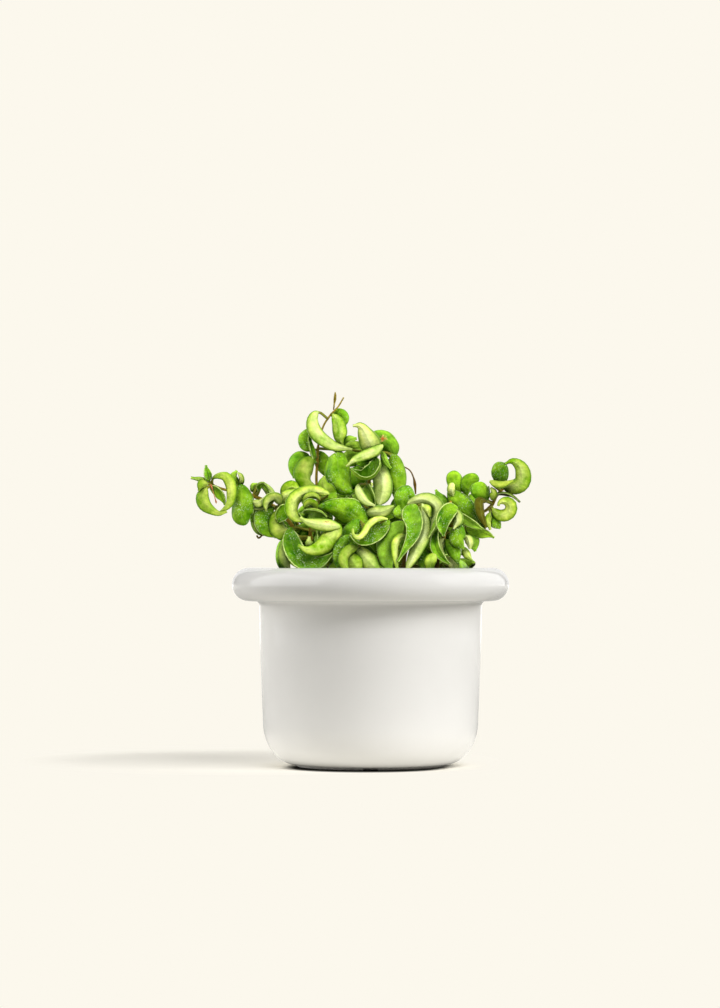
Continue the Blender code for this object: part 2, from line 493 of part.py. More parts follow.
def tube(route, radii, sides=STEM_SIDES):
    """Closed round tube along a route, with a radius at each point."""
    tangents = [(after - before).normalized()
                for before, after in zip([route[0]] + route[:-1], route[1:] + [route[-1]])]
    normals = carried_normals(tangents, 0, Vector((1.0, 0.3, 0.0)))
    vertices = []
    for point, tangent, normal, radius in zip(route, tangents, normals, radii):
        side = tangent.cross(normal)
        for corner in range(sides):
            angle = 2 * math.pi * corner / sides
            vertices.append(point + (normal * math.cos(angle) + side * math.sin(angle)) * radius)
    triangles = []
    for ring in range(len(route) - 1):
        for corner in range(sides):
            a = ring * sides + corner
            b = ring * sides + (corner + 1) % sides
            triangles += [(a, b, b + sides), (a, b + sides, a + sides)]
    last = (len(route) - 1) * sides
    for corner in range(1, sides - 1):
        triangles += [(0, corner + 1, corner), (last, last + corner, last + corner + 1)]
    return vertices, outward(vertices, triangles)


def blade_share(share, belly, fullness):
    """Half width at a share of the blade's length, 1 at the belly and 0 at the pointed tip."""
    if share < belly:
        return (1.0 - (1.0 - share / belly) ** BASE_FULLNESS) ** BASE_ROUNDING
    return (1.0 - ((share - belly) / (1.0 - belly)) ** fullness) ** (1.0 / max(1.0, fullness - 1.0))


Blade = namedtuple("Blade", "root points half turn cup belly fullness facing phase steps")
Section = namedtuple("Section", "centre side normal widths fold curl thick ripple blend share")


def leaf_sections(blade, stalk_shares, blade_shares, grow=0.0):
    """What a leaf is like at each place along it: first on its stalk, then on its blade."""
    samples, marks = smooth_route([blade.root] + blade.points)
    run = distances(samples)
    base = run[marks[1]]
    length = run[-1] - base
    places = [(share * base, 0.0) for share in stalk_shares]
    places += [(base + share * length, share) for share in blade_shares]
    reach = TANGENT_REACH * run[-1]
    window = BEND_WINDOW * run[-1]

    def heading(at):
        at = min(max(at, 0.0), run[-1])
        return (point_at(samples, run, at + reach) - point_at(samples, run, at - reach)).normalized()

    tangents = [heading(at) for at, share in places]
    anchor = min(range(len(places)), key=lambda index: abs(places[index][1] - ANCHOR_SHARE))
    normals = carried_normals(tangents, anchor, blade.facing)
    sections = []
    for (at, share), tangent, carried in zip(places, tangents, normals):
        blend = min(1.0, share / BLADE_START)
        eased = share * share * (3.0 - 2.0 * share)
        angle = math.radians(blade.turn[0] + (blade.turn[1] - blade.turn[0]) * eased)
        normal = Matrix.Rotation(angle, 3, tangent) @ carried
        side = tangent.cross(normal)
        bend = (heading(at + window) - heading(at - window)) / (2 * window)
        edge_turn = math.radians(2.0 * blade.cup / (1.0 + CREASE)) * blend
        fold = CREASE * edge_turn
        curl = edge_turn - fold
        shown = math.sin(min(abs(edge_turn), math.pi / 2)) - math.sin(abs(fold))
        laid_flat = abs(curl) / shown if abs(curl) > FLAT_CURL else 1.0
        wide = max(blade.half * blade_share(share, blade.belly, blade.fullness), STALK_RADIUS) + grow
        widths = {}
        for hand in (-1, 1):
            inward = max(bend.dot(side) * hand, 0.0) / BEND_ROOM
            widths[hand] = wide / (1.0 + (wide * inward) ** 4) ** 0.25 * laid_flat
        body = 0.5 * LEAF_THICKNESS * (1.0 - TIP_THINNING * share)
        thick = STALK_HALF_DEPTH * (1 - blend) + body * blend + grow
        ripple = {hand: MARGIN_WAVE * blend * math.sin(2 * math.pi * WAVES * share + blade.phase
                                                       + WAVE_OFFSET * hand) for hand in (-1, 1)}
        centre = point_at(samples, run, at)
        sections.append(Section(centre, side, normal, widths, fold, curl, thick, ripple, blend, share))
    return sections, samples[-1]


def across_blade(section, column):
    """The middle of the blade's thickness at a column from -1 to 1, and the way out of its face."""
    hand = 1 if column > 0 else -1
    spot = abs(column)
    width = section.widths[hand]
    angle = section.fold + section.curl * spot
    if abs(section.curl) > FLAT_CURL:
        across = width * (math.sin(angle) - math.sin(section.fold)) / section.curl
        lift = width * (math.cos(section.fold) - math.cos(angle)) / section.curl
    else:
        across = width * spot
        lift = 0.0
    lift += section.ripple[hand] * width * spot * spot
    middle = section.centre + section.side * (across * hand) + section.normal * lift
    if spot < 1e-6:
        return middle, section.normal
    return middle, section.normal * math.cos(angle) - section.side * (math.sin(angle) * hand)


def leaf_solid(blade, grow=0.0):
    """Closed solid of one leaf with few faces: a stalk from the root, then a curled blade."""
    stalk = (0.0, STALK_MIDDLE) if blade.steps > 4 else (0.0,)
    turns = [FIRST_RING + (1.0 - FIRST_RING) * step / blade.steps for step in range(blade.steps)]
    shares = [0.5 - 0.5 * math.cos(math.pi * turn) for turn in turns]
    sections, tip = leaf_sections(blade, stalk, shares, grow)
    vertices = []
    for section in sections:
        middle, face = across_blade(section, 0.0)
        vertices += [across_blade(section, -1.0)[0], middle + face * section.thick,
                     across_blade(section, 1.0)[0], middle - face * section.thick]
    triangles = [(0, 2, 1), (0, 3, 2)]
    for ring in range(len(sections) - 1):
        here = ring * 4
        there = here + 4
        for low, high in ((0, 1), (1, 2)):
            triangles += [(here + low, here + high, there + high), (here + low, there + high, there + low)]
        for low, high in ((0, 3), (3, 2)):
            triangles += [(here + high, here + low, there + high), (there + high, here + low, there + low)]
    last = len(vertices) - 4
    vertices.append(tip)
    triangles += [(last + corner, last + (corner + 1) % 4, last + 4) for corner in range(4)]
    return vertices, outward(vertices, triangles)


def seen(across, depth, up):
    """A front-view position in millimetres, put at its depth in metres."""
    scale = 1.0 + depth * MM / VIEW_DISTANCE
    level = POT_HEIGHT + (up * MM - POT_HEIGHT) * scale
    return Vector((across * MM * scale, depth * MM, level))


def joints_of(samples):
    """The samples of a stem that may carry a leaf: above the potting mix and short of its end."""
    return [sample for sample in samples[:-END_SAMPLES] if sample.z > LOWEST_JOINT]


def is_inside(outline, x, y):
    """Whether a flat point is inside an outline."""
    inside = False
    for (x1, y1), (x2, y2) in zip(outline, outline[1:] + outline[:1]):
        if (y1 > y) != (y2 > y) and x < x1 + (y - y1) * (x2 - x1) / (y2 - y1):
            inside = not inside
    return inside


def curled_points(root, outward_way, up_way, stalk, length, curl, lean):
    """Five points of a blade that leaves the stem and curls over."""
    axis = outward_way.cross(up_way).normalized()
    axis = Matrix.Rotation(lean, 3, outward_way) @ axis
    point = root + outward_way * stalk
    points = [point]
    spans = 4
    for span in range(spans):
        turned = Matrix.Rotation(curl * (span + 0.5) / spans, 3, axis) @ outward_way
        point = point + turned * (length / spans)
        points.append(point)
    return points


class Foliage:
    """Keeps each stem's solids, and tells whether a new one would touch another stem's."""

    def __init__(self, fixed):
        self.fixed = fixed
        self.solids = {name: [] for name in STEMS}
        self.trees = {name: [] for name in STEMS}
        self.blades = {name: [] for name in STEMS}

    def is_clear(self, stem, grown, bare_blade=None):
        tree = BVHTree.FromPolygons(*grown)
        if any(tree.overlap(other) for other in self.fixed):
            return False
        for name, others in self.trees.items():
            if name != stem and any(tree.overlap(other) for other in others):
                return False
        if bare_blade is not None:
            own = BVHTree.FromPolygons(*bare_blade)
            return not any(own.overlap(other) for other in self.blades[stem])
        return True

    def add(self, stem, solid, is_leaf=True):
        self.solids[stem].append(solid)
        self.trees[stem].append(BVHTree.FromPolygons(*solid))
        if is_leaf:
            self.blades[stem].append(BVHTree.FromPolygons(*blade_only(solid)))


def blade_only(solid):
    """The part of a leaf beyond its stalk."""
    vertices, triangles = solid
    return vertices, [corners for corners in triangles if min(corners) >= STALK_CORNERS]


def stem_points(place, above):
    """Points of a stem: straight up out of its hole, then along its route."""
    levels = (HOLE_BOTTOM + 2 * GAP, SOIL_TOP, STRAIGHT_TOP)
    upright = [Vector((place[0] * MM, place[1] * MM, level)) for level in levels]
    return upright + [Vector(point) * MM for point in above]


def place_stems(foliage):
    """Tubes for the stems and twigs; returns the stems' routes."""
    routes = {}
    for name, (place, above, foot, tip) in STEMS.items():
        points = stem_points(place, above)
        radii = [(foot + (tip - foot) * index / (len(points) - 1)) * MM for index in range(len(points))]
        foliage.add(name, tube(points, radii), is_leaf=False)
        routes[name] = smooth_route(points, 12)[0]
    for name, points, radii in TWIGS:
        route = [Vector(point) * MM for point in points]
        foliage.add(name, tube(route, [radius * MM for radius in radii]), is_leaf=False)
    return routes


def place_shown_leaves(foliage, routes):
    """Leaves of the front, each moved a little in depth until it is clear of other stems."""
    front = Vector((0.0, -1.0, 0.0))
    near = [0.0]
    for step in range(1, 6):
        near += [-1.5 * step, 1.5 * step]
    far = [-1.5 * step for step in range(6, 14)] + [1.5 * step for step in range(6, 14)]
    trials = [(shift, True) for shift in near] + [(shift, False) for shift in near + far]
    for number, leaf in enumerate(Leaf(*row) for row in LEAVES):
        spans = len(leaf.route) - 1
        is_large = leaf.half > LARGE_HALF_WIDTH or len(leaf.route) > MOST_SHORT_POINTS
        steps = 5 if is_large else 3 if leaf.half < SMALL_HALF_WIDTH else 4
        for shift, keeps_apart in trials:
            points = []
            for index, (across, up) in enumerate(leaf.route):
                depth = leaf.depth[0] + (leaf.depth[1] - leaf.depth[0]) * index / spans
                points.append(seen(across, depth + shift - BOW * math.sin(math.pi * index / spans), up))
            root = min(joints_of(routes[leaf.stem]), key=lambda sample: (sample - points[0]).length)
            blade = Blade(root, points, leaf.half * MM, leaf.turn, leaf.cup, leaf.belly, leaf.fullness,
                          front, 0.9 * number, steps)
            grown = leaf_solid(blade, CLEARANCE)
            if foliage.is_clear(leaf.stem, grown, blade_only(grown) if keeps_apart else None):
                foliage.add(leaf.stem, leaf_solid(blade))
                break


def hidden_blade(root, compass, chance):
    """One curled leaf that leaves its stem along a compass angle."""
    rolls_down = chance.random() < SHARE_ROLLED_DOWN
    angle = math.radians(compass)
    way = Vector((math.cos(angle), math.sin(angle), chance.uniform(*LEAF_RISES))).normalized()
    up_way = Vector((0, 0, 1)) if rolls_down else Vector((0, 0, -1))
    lean = math.radians(chance.uniform(-LARGEST_LEAN, LARGEST_LEAN))
    curl = -math.radians(chance.uniform(*LEAF_CURLS))
    stalk = chance.uniform(*STALK_LENGTHS) * MM
    length = chance.uniform(*LEAF_LENGTHS) * MM
    half = chance.uniform(*LEAF_HALF_WIDTHS) * MM
    cup = chance.uniform(*LEAF_CUPS) * (-1 if rolls_down else 1)
    points = curled_points(root, way, up_way, stalk, length, curl, lean)
    return Blade(root, points, half, (0, 20), cup, HIDDEN_BELLY, HIDDEN_FULLNESS, Vector((0, 0, 1)),
                 compass, 4)


def is_hidden(vertices):
    """Whether points are behind the rim or inside the outline, seen from the front."""
    for vertex in vertices:
        size = 1.0 + vertex.y / VIEW_DISTANCE
        up = (POT_HEIGHT + (vertex.z - POT_HEIGHT) / size) / MM
        if vertex.z > POT_HEIGHT + MM and not is_inside(FRONT_OUTLINE, vertex.x / size / MM, up):
            return False
    return True


def place_hidden_leaves(foliage, routes):
    """Opposite pairs of curled leaves, a quarter turn on at each level, for the sides and back."""
    chance = random.Random(HIDDEN_SEED)
    for stem, low, high, levels, first, last in HIDDEN_FOLIAGE:
        for level in range(levels):
            height = (low + (high - low) * level / max(levels - 1, 1)) * MM
            root = min(joints_of(routes[stem]), key=lambda sample: abs(sample.z - height))
            for pair in range(2):
                for trial in range(ATTEMPTS):
                    compass = 90.0 * level + 180.0 * pair + chance.uniform(-LARGEST_SWING, LARGEST_SWING)
                    blade = hidden_blade(root, compass, chance)
                    if not first <= compass % 360 <= last and not first <= compass % 360 - 360 <= last:
                        continue
                    grown = leaf_solid(blade, CLEARANCE)
                    if is_hidden(grown[0]) and foliage.is_clear(stem, grown, blade_only(grown)):
                        foliage.add(stem, leaf_solid(blade))
                        break


def clear_scene():
    """Remove the objects of the file that Blender starts with."""
    for thing in list(bpy.data.objects):
        bpy.data.objects.remove(thing, do_unlink=True)


def plain_material(name, colour, roughness, coat=0.0):
    """A Principled material of one colour."""
    material = bpy.data.materials.new(name)
    material.use_nodes = True
    shader = material.node_tree.nodes["Principled BSDF"]
    shader.inputs["Base Color"].default_value = colour
    shader.inputs["Roughness"].default_value = roughness
    shader.inputs["Metallic"].default_value = 0.0
    shader.inputs["Coat Weight"].default_value = coat
    return material


def new_object(name, vertices, faces, material, parent):
    """An object from plain vertices and faces."""
    mesh = bpy.data.meshes.new(name)
    mesh.from_pydata([tuple(vertex) for vertex in vertices], [], faces)
    if material:
        mesh.materials.append(material)
    thing = bpy.data.objects.new(name, mesh)
    bpy.context.scene.collection.objects.link(thing)
    thing.parent = parent
    return thing


def arc(centre, radius, start, end, steps):
    """Points of an arc in a profile plane, angles in degrees."""
    return [(centre[0] + radius * math.cos(math.radians(start + (end - start) * step / steps)),
             centre[1] + radius * math.sin(math.radians(start + (end - start) * step / steps)))
            for step in range(steps + 1)]


def turned(profile, segments):
    """A closed turned solid; the profile runs from the axis at the bottom round to the axis."""
    vertices = []
    rings = []
    for radius, height in profile:
        if radius < 1e-6:
            rings.append([len(vertices)])
            vertices.append(Vector((0, 0, height)))
            continue
        rings.append(list(range(len(vertices), len(vertices) + segments)))
        for segment in range(segments):
            angle = 2 * math.pi * segment / segments
            vertices.append(Vector((radius * math.cos(angle), radius * math.sin(angle), height)))
    faces = []
    for low, high in zip(rings, rings[1:]):
        for segment in range(segments):
            after = (segment + 1) % segments
            if len(low) == 1:
                faces.append((low[0], high[after], high[segment]))
            elif len(high) == 1:
                faces.append((low[segment], low[after], high[0]))
            else:
                faces.append((low[segment], low[after], high[after], high[segment]))
    return vertices, faces


def inner_wall():
    """Profile of the pot's inside, from the rim down to the middle of the floor."""
    inner = BODY_TOP_RADIUS - WALL
    low = BODY_LOWER_RADIUS - WALL
    wall_foot = FLOOR + INNER_CORNER
    corner = [(low - INNER_CORNER + radius, FLOOR + INNER_CORNER + height)
              for radius, height in arc((0, 0), INNER_CORNER, 0, -90, 3)]
    return [(inner, POT_HEIGHT - RIM_HEIGHT), (low, wall_foot + 0.001)] + corner[1:] + [(0.0, FLOOR)]


def pot_profile():
    """Profile of the pot: underside, foot, body, rim, then down the inside."""
    half = RIM_HEIGHT / 2
    rim_foot = POT_HEIGHT - RIM_HEIGHT
    inner = BODY_TOP_RADIUS - WALL
    corner_top = CORNER_HEIGHT + FOOT_HEIGHT
    points = [(0.0, 0.0), (FOOT_RADIUS, 0.0), (FOOT_RADIUS, FOOT_HEIGHT)]
    centre_radius = BODY_LOWER_RADIUS - CORNER_WIDTH
    for step in range(6):
        angle = math.radians(-90 + 90 * step / 5)
        points.append((centre_radius + CORNER_WIDTH * math.cos(angle),
                       corner_top + CORNER_HEIGHT * math.sin(angle)))
    points += [LOWER_WALL, UPPER_WALL, (BODY_TOP_RADIUS, rim_foot - FILLET_RADIUS)]
    points += arc((BODY_TOP_RADIUS + FILLET_RADIUS, rim_foot - FILLET_RADIUS), FILLET_RADIUS, 180, 90, 2)[1:]
    points += arc((RIM_OUTER_RADIUS - half, rim_foot + half), half, -90, 90, 8)
    top_centre = (inner + RIM_INNER_ROUNDING, POT_HEIGHT - RIM_INNER_ROUNDING)
    points += arc(top_centre, RIM_INNER_ROUNDING, 90, 180, 3)
    return points + inner_wall()


def build_pot(parent):
    """Glazed ceramic pot, turned, with a small notch under the front of its foot."""
    vertices, faces = turned(pot_profile(), POT_SEGMENTS)
    pot = new_object("pot", vertices, faces, plain_material("glazed_ceramic", POT_WHITE, 0.18, 0.6), parent)
    pot.data.shade_smooth()
    pot.data.set_sharp_from_angle(angle=math.radians(40))
    bpy.ops.mesh.primitive_cube_add(size=1.0)
    cutter = bpy.context.object
    cutter.name = "foot_notch_cutter"
    cutter.scale = (NOTCH_WIDTH, 2 * NOTCH_DEPTH, 2 * NOTCH_HEIGHT)
    cutter.location = (0.0, -FOOT_RADIUS, 0.0)
    cutter.hide_render = True
    cutter.display_type = "WIRE"
    cut = pot.modifiers.new("foot notch", "BOOLEAN")
    cut.operation = "DIFFERENCE"
    cut.object = cutter
    return pot


def build_soil(parent):
    """Potting mix that fills the pot, with a lumpy top and a plain hole for each stem."""
    chance = random.Random(SOIL_SEED)
    wall = [(radius - 2 * GAP, height) for radius, height in inner_wall()[:-1]]
    side = [point for point in reversed(wall) if point[1] < SOIL_TOP - SOIL_SHOULDER]
    profile = [(0.0, FLOOR + GAP)] + [(radius, max(height, FLOOR + GAP)) for radius, height in side]
    edge = BODY_TOP_RADIUS - WALL - 3 * GAP
    profile.append((edge, SOIL_TOP - SOIL_SHOULDER))
    first_top = sum(1 if radius < 1e-6 else SOIL_SEGMENTS for radius, height in profile)
    profile += [(edge * share, SOIL_TOP) for share in SOIL_RINGS] + [(0.0, SOIL_TOP)]
    vertices, faces = turned(profile, SOIL_SEGMENTS)
    for vertex in vertices[first_top:]:
        vertex.z += chance.uniform(-SOIL_LUMP, 0.4 * SOIL_LUMP)
    material = plain_material("potting_mix", SOIL_BROWN, 0.95)
    soil = new_object("potting_mix", vertices, faces, material, parent)
    flat = bmesh.new()
    flat.from_mesh(soil.data)
    bmesh.ops.triangulate(flat, faces=flat.faces)
    flat.to_mesh(soil.data)
    flat.free()
    drills = bpy.data.collections.new("stem_hole_cutters")
    bpy.context.scene.collection.children.link(drills)
    for name, (place, above, foot, tip) in STEMS.items():
        radius = foot * MM + HOLE_CLEARANCE
        middle = Vector((place[0] * MM, place[1] * MM, 0.0))
        ends = [middle + Vector((0, 0, level)) for level in (HOLE_BOTTOM, SOIL_TOP + 0.01)]
        drill = new_object(name + "_hole_cutter", *tube(ends, [radius, radius], HOLE_SIDES), None, None)
        drill.hide_render = True
        drill.display_type = "WIRE"
        bpy.context.scene.collection.objects.unlink(drill)
        drills.objects.link(drill)
    cut = soil.modifiers.new("stem holes", "BOOLEAN")
    cut.operation = "DIFFERENCE"
    cut.operand_type = "COLLECTION"
    cut.collection = drills
    return soil


def largest_body(mesh):
    """Keep the largest closed body, with sealed hollows filled, loose scraps dropped and slivers closed."""
    work = bmesh.new()
    work.from_mesh(mesh)
    bmesh.ops.triangulate(work, faces=work.faces)
    bmesh.ops.dissolve_degenerate(work, dist=WELD, edges=work.edges)
    bmesh.ops.triangulate(work, faces=work.faces)
    todo = set(work.faces)
    bodies = []
    while todo:
        body = {todo.pop()}
        edge_of = list(body)
        while edge_of:
            face = edge_of.pop()
            for edge in face.edges:
                for other in edge.link_faces:
                    if other in todo:
                        todo.discard(other)
                        body.add(other)
                        edge_of.append(other)
        bodies.append(body)
    bodies.sort(key=len)
    scraps = [face for body in bodies[:-1] for face in body]
    bmesh.ops.delete(work, geom=scraps, context="FACES")
    bmesh.ops.delete(work, geom=[vertex for vertex in work.verts if not vertex.link_faces], context="VERTS")
    work.faces.sort(key=lambda face: -face.calc_area())
    work.to_mesh(mesh)
    work.free()


def fuse_stem(name, solids, material, parent):
    """One node of a leafy stem: its leaves and twigs joined to the stem's tube."""
    pieces = bpy.data.collections.new(name + "_pieces")
    bpy.context.scene.collection.children.link(pieces)
    node = new_object(name, *solids[0], material, parent)
    for number, (vertices, triangles) in enumerate(solids[1:]):
        piece = new_object(name + "_piece_" + str(number), vertices, triangles, material, None)
        bpy.context.scene.collection.objects.unlink(piece)
        pieces.objects.link(piece)
    join = node.modifiers.new("fuse", "BOOLEAN")
    join.operation = "UNION"
    join.operand_type = "COLLECTION"
    join.collection = pieces
    join.solver = "MANIFOLD"
    bpy.context.view_layer.update()
    seen_node = node.evaluated_get(bpy.context.evaluated_depsgraph_get())
    fused = bpy.data.meshes.new_from_object(seen_node)
    fused.name = name
    node.modifiers.clear()
    node.data = fused
    largest_body(fused)
    for piece in list(pieces.objects):
        bpy.data.objects.remove(piece, do_unlink=True)
    bpy.data.collections.remove(pieces)
    fused.shade_smooth()
    fused.set_sharp_from_angle(angle=math.radians(50))
    return node


def solid_of(thing):
    """Vertices and faces of an object as it is evaluated."""
    mesh = thing.evaluated_get(bpy.context.evaluated_depsgraph_get()).data
    return [vertex.co.copy() for vertex in mesh.vertices], [tuple(face.vertices) for face in mesh.polygons]


def main():
    clear_scene()
    plant_in_pot = bpy.data.objects.new("potted_plant", None)
    bpy.context.scene.collection.objects.link(plant_in_pot)
    pot = build_pot(plant_in_pot)
    soil = build_soil(plant_in_pot)
    bpy.context.view_layer.update()
    foliage = Foliage([BVHTree.FromPolygons(*solid_of(pot)), BVHTree.FromPolygons(*solid_of(soil))])
    routes = place_stems(foliage)
    place_shown_leaves(foliage, routes)
    place_hidden_leaves(foliage, routes)
    material = plain_material("leaf_and_stem", LEAF_GREEN, 0.4, 0.2)
    for name, solids in foliage.solids.items():
        fuse_stem(name, solids, material, plant_in_pot)


main()
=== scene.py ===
import math
import random
from collections import namedtuple

import bpy
from mathutils import Matrix, Vector, noise
from mathutils.bvhtree import BVHTree


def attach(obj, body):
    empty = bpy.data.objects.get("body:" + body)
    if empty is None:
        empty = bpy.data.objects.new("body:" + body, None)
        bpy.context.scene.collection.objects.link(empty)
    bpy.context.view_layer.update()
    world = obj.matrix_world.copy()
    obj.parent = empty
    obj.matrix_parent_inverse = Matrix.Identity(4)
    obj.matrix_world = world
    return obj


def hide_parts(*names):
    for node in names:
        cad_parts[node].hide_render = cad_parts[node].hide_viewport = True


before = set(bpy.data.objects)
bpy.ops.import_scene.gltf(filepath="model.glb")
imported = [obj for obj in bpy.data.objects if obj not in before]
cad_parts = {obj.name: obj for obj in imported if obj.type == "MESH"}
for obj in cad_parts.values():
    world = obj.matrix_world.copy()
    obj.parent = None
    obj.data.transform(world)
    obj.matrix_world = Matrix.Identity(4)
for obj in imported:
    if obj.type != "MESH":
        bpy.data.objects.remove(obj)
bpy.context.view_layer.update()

# Camera
# It stands level with the top of the pot's rim, so that the rim shows edge-on as in the
# photograph. The lens is long, and the pot stands low and a little right of the middle.
EYE_LEVEL = 0.150
EYE_DISTANCE = 2.43
LENS = 114.3
FRAME = 36.0
VIEW_RISE = 0.0200
VIEW_TURN = 0.00328
camera = bpy.data.objects.new("camera", bpy.data.cameras.new("camera"))
bpy.context.scene.collection.objects.link(camera)
bpy.context.scene.camera = camera
camera.data.lens = LENS
camera.data.sensor_fit = "VERTICAL"
camera.data.sensor_width = FRAME
camera.data.sensor_height = FRAME
camera.location = (0.0, -EYE_DISTANCE, EYE_LEVEL)
camera.rotation_euler = (math.pi / 2 + math.atan(VIEW_RISE), 0.0, math.atan(VIEW_TURN))


# Studio
# The pot stands on a wide pale floor that runs on into a backdrop of the same warm white.
# The room glows softly. Broad lamps stand at the right, in front and low at the left behind.
def paint(red, green, blue):
    """A colour as it is read off a colour card, from 0 to 255, as the renderer wants it."""
    def linear(part):
        share = part / 255.0
        return share / 12.92 if share <= 0.04045 else ((share + 0.055) / 1.055) ** 2.4
    return (linear(red), linear(green), linear(blue), 1.0)


def grey(level):
    """A plain grey of a given brightness, from 0 to 1."""
    return (level, level, level, 1.0)


def add_node(tree, kind, inputs=(), **settings):
    """A shader node, with its settings, and its sockets set to values or linked."""
    made = tree.nodes.new("ShaderNode" + kind)
    for name, value in settings.items():
        setattr(made, name, value)
    for name, value in dict(inputs).items():
        if isinstance(value, bpy.types.NodeSocket):
            tree.links.new(value, made.inputs[name])
        else:
            made.inputs[name].default_value = value
    return made


def blended(tree, share, first, second, way="MIX"):
    """Mixes two colours; each input is a socket or a value."""
    mix = tree.nodes.new("ShaderNodeMix")
    mix.data_type = "RGBA"
    mix.blend_type = way
    for socket, value in ((mix.inputs[0], share), (mix.inputs[6], first), (mix.inputs[7], second)):
        if isinstance(value, bpy.types.NodeSocket):
            tree.links.new(value, socket)
        else:
            socket.default_value = value
    return mix.outputs[2]


def ranged(tree, value, low, high, to_low=0.0, to_high=1.0, smooth=False):
    """A value taken from one range to another and held there."""
    inputs = {"Value": value, "From Min": low, "From Max": high, "To Min": to_low, "To Max": to_high}
    return add_node(tree, "MapRange", inputs,
                    interpolation_type="SMOOTHSTEP" if smooth else "LINEAR").outputs[0]


def computed(tree, operation, first, second=0.0):
    """The result of a Math node on sockets or values."""
    return add_node(tree, "Math", {0: first, 1: second}, operation=operation).outputs[0]


def product(tree, *parts):
    """Sockets and values multiplied together."""
    result = parts[0]
    for part in parts[1:]:
        result = computed(tree, "MULTIPLY", result, part)
    return result


def distance_from(tree, place, point):
    """How far a place is from a point."""
    return add_node(tree, "VectorMath", {0: place, 1: point}, operation="DISTANCE").outputs["Value"]


def new_material(name, roughness):
    """A material with its Principled shader, and the position over the object's surface."""
    material = bpy.data.materials.new(name)
    material.use_nodes = True
    tree = material.node_tree
    shader = tree.nodes["Principled BSDF"]
    shader.inputs["Roughness"].default_value = roughness
    place = add_node(tree, "TexCoord").outputs["Object"]
    return material, tree, shader, place


def far_lamp(name, way, energy, angle):
    """A far lamp that shines from a direction, softer where its angle in degrees is wider."""
    lamp = bpy.data.objects.new(name, bpy.data.lights.new(name, "SUN"))
    lamp.data.energy = energy
    lamp.data.angle = math.radians(angle)
    lamp.visible_glossy = False
    lamp.rotation_euler = Vector(way).to_track_quat("Z", "Y").to_euler()
    bpy.context.scene.collection.objects.link(lamp)
    return lamp


# Name, direction it shines from, energy and angle across in degrees
LAMPS = [("right_lamp", (0.91, -0.42, 0.56), 1.75, 28),
         ("front_lamp", (0.35, -0.62, 0.80), 1.25, 26),
         ("left_lamp", (-0.95, 0.27, 0.30), 2.45, 60)]
LEAF_LAMP = ("leaf_lamp", (-0.10, -0.85, 0.55), 1.20, 20)
# White boards that only the gloss shows: name, middle, way it faces, width, height, brightness
BOARDS = [("left_board", (-2.0, -0.60, 1.4), (1, 0, 0), 3.2, 3.0, 1.9),
          ("right_board", (2.0, 1.0, 1.4), (-1, 0, 0), 4.6, 3.0, 1.0),
          ("back_board", (0.0, 3.0, 1.2), (0, -1, 0), 2.4, 3.0, 0.6)]
ROOM_WHITE = paint(252, 248, 237)
SOFT_LIGHT = 0.17
GLOSS_LIGHT = 0.30
FLOOR_REACH = 30.0
FOOT_SHADE = (-0.004, -0.022, 0.0)
POT_SHADE = (-0.09, 0.07, 0.0)

bpy.context.scene.view_settings.view_transform = "Standard"
room = bpy.data.worlds.new("studio")
bpy.context.scene.world = room
room.use_nodes = True
tree = room.node_tree
rays = add_node(tree, "LightPath").outputs
unseen = blended(tree, rays["Is Glossy Ray"], grey(SOFT_LIGHT), grey(GLOSS_LIGHT))
tree.links.new(blended(tree, rays["Is Camera Ray"], unseen, ROOM_WHITE),
               tree.nodes["Background"].inputs["Color"])
tree.nodes["Background"].inputs["Strength"].default_value = 1.0

on_floor = SOFT_LIGHT
for name, way, energy, angle in LAMPS:
    far_lamp(name, way, energy, angle)
    on_floor += energy * Vector(way).normalized().z / math.pi
# A weak lamp in front that reaches the leaves alone, so that the inner ones show
leafy = bpy.data.collections.new("leafy")
far_lamp(*LEAF_LAMP).light_linking.receiver_collection = leafy
for name, middle, way, width, height, brightness in BOARDS:
    board = bpy.data.objects.new(name, bpy.data.lights.new(name, "AREA"))
    board.data.shape = "RECTANGLE"
    board.data.size = width
    board.data.size_y = height
    board.data.energy = brightness * math.pi * width * height
    board.location = middle
    board.rotation_euler = (-Vector(way)).to_track_quat("Z", "Y").to_euler()
    board.visible_camera = False
    board.visible_diffuse = False
    bpy.context.scene.collection.objects.link(board)

floor_mesh = bpy.data.meshes.new("floor")
floor_mesh.from_pydata([(x * FLOOR_REACH, y * FLOOR_REACH, 0.0)
                        for x, y in ((-1, -1), (1, -1), (1, 1), (-1, 1))], [], [(0, 1, 2, 3)])
floor = bpy.data.objects.new("floor", floor_mesh)
bpy.context.scene.collection.objects.link(floor)

# The floor is lit where the pot's shade falls on it, and glows evenly everywhere else. Right
# in front of the foot, where little light gets in under the pot, a painted shadow darkens it.
material, tree, shader, place = new_material("floor_paint", 0.85)
shader.inputs["Specular IOR Level"].default_value = 0.0
far = distance_from(tree, place, (0.0, 0.0, 0.0))
glow = product(tree, ranged(tree, far, 0.066, 0.096, smooth=True),
               ranged(tree, distance_from(tree, place, POT_SHADE), 0.11, 0.19, 0.42, 1.0, smooth=True))
open_floor = tuple(part / on_floor for part in ROOM_WHITE[:3]) + (1.0,)
# A painted shadow: close in front of the foot the floor's colour goes nearly black
outside_painted_foot_shadow = ranged(tree, distance_from(tree, place, FOOT_SHADE), 0.052, 0.066, 0.03, 1.0, smooth=True)
lit_part = blended(tree, outside_painted_foot_shadow, grey(0.0), blended(tree, glow, open_floor, grey(0.0)))
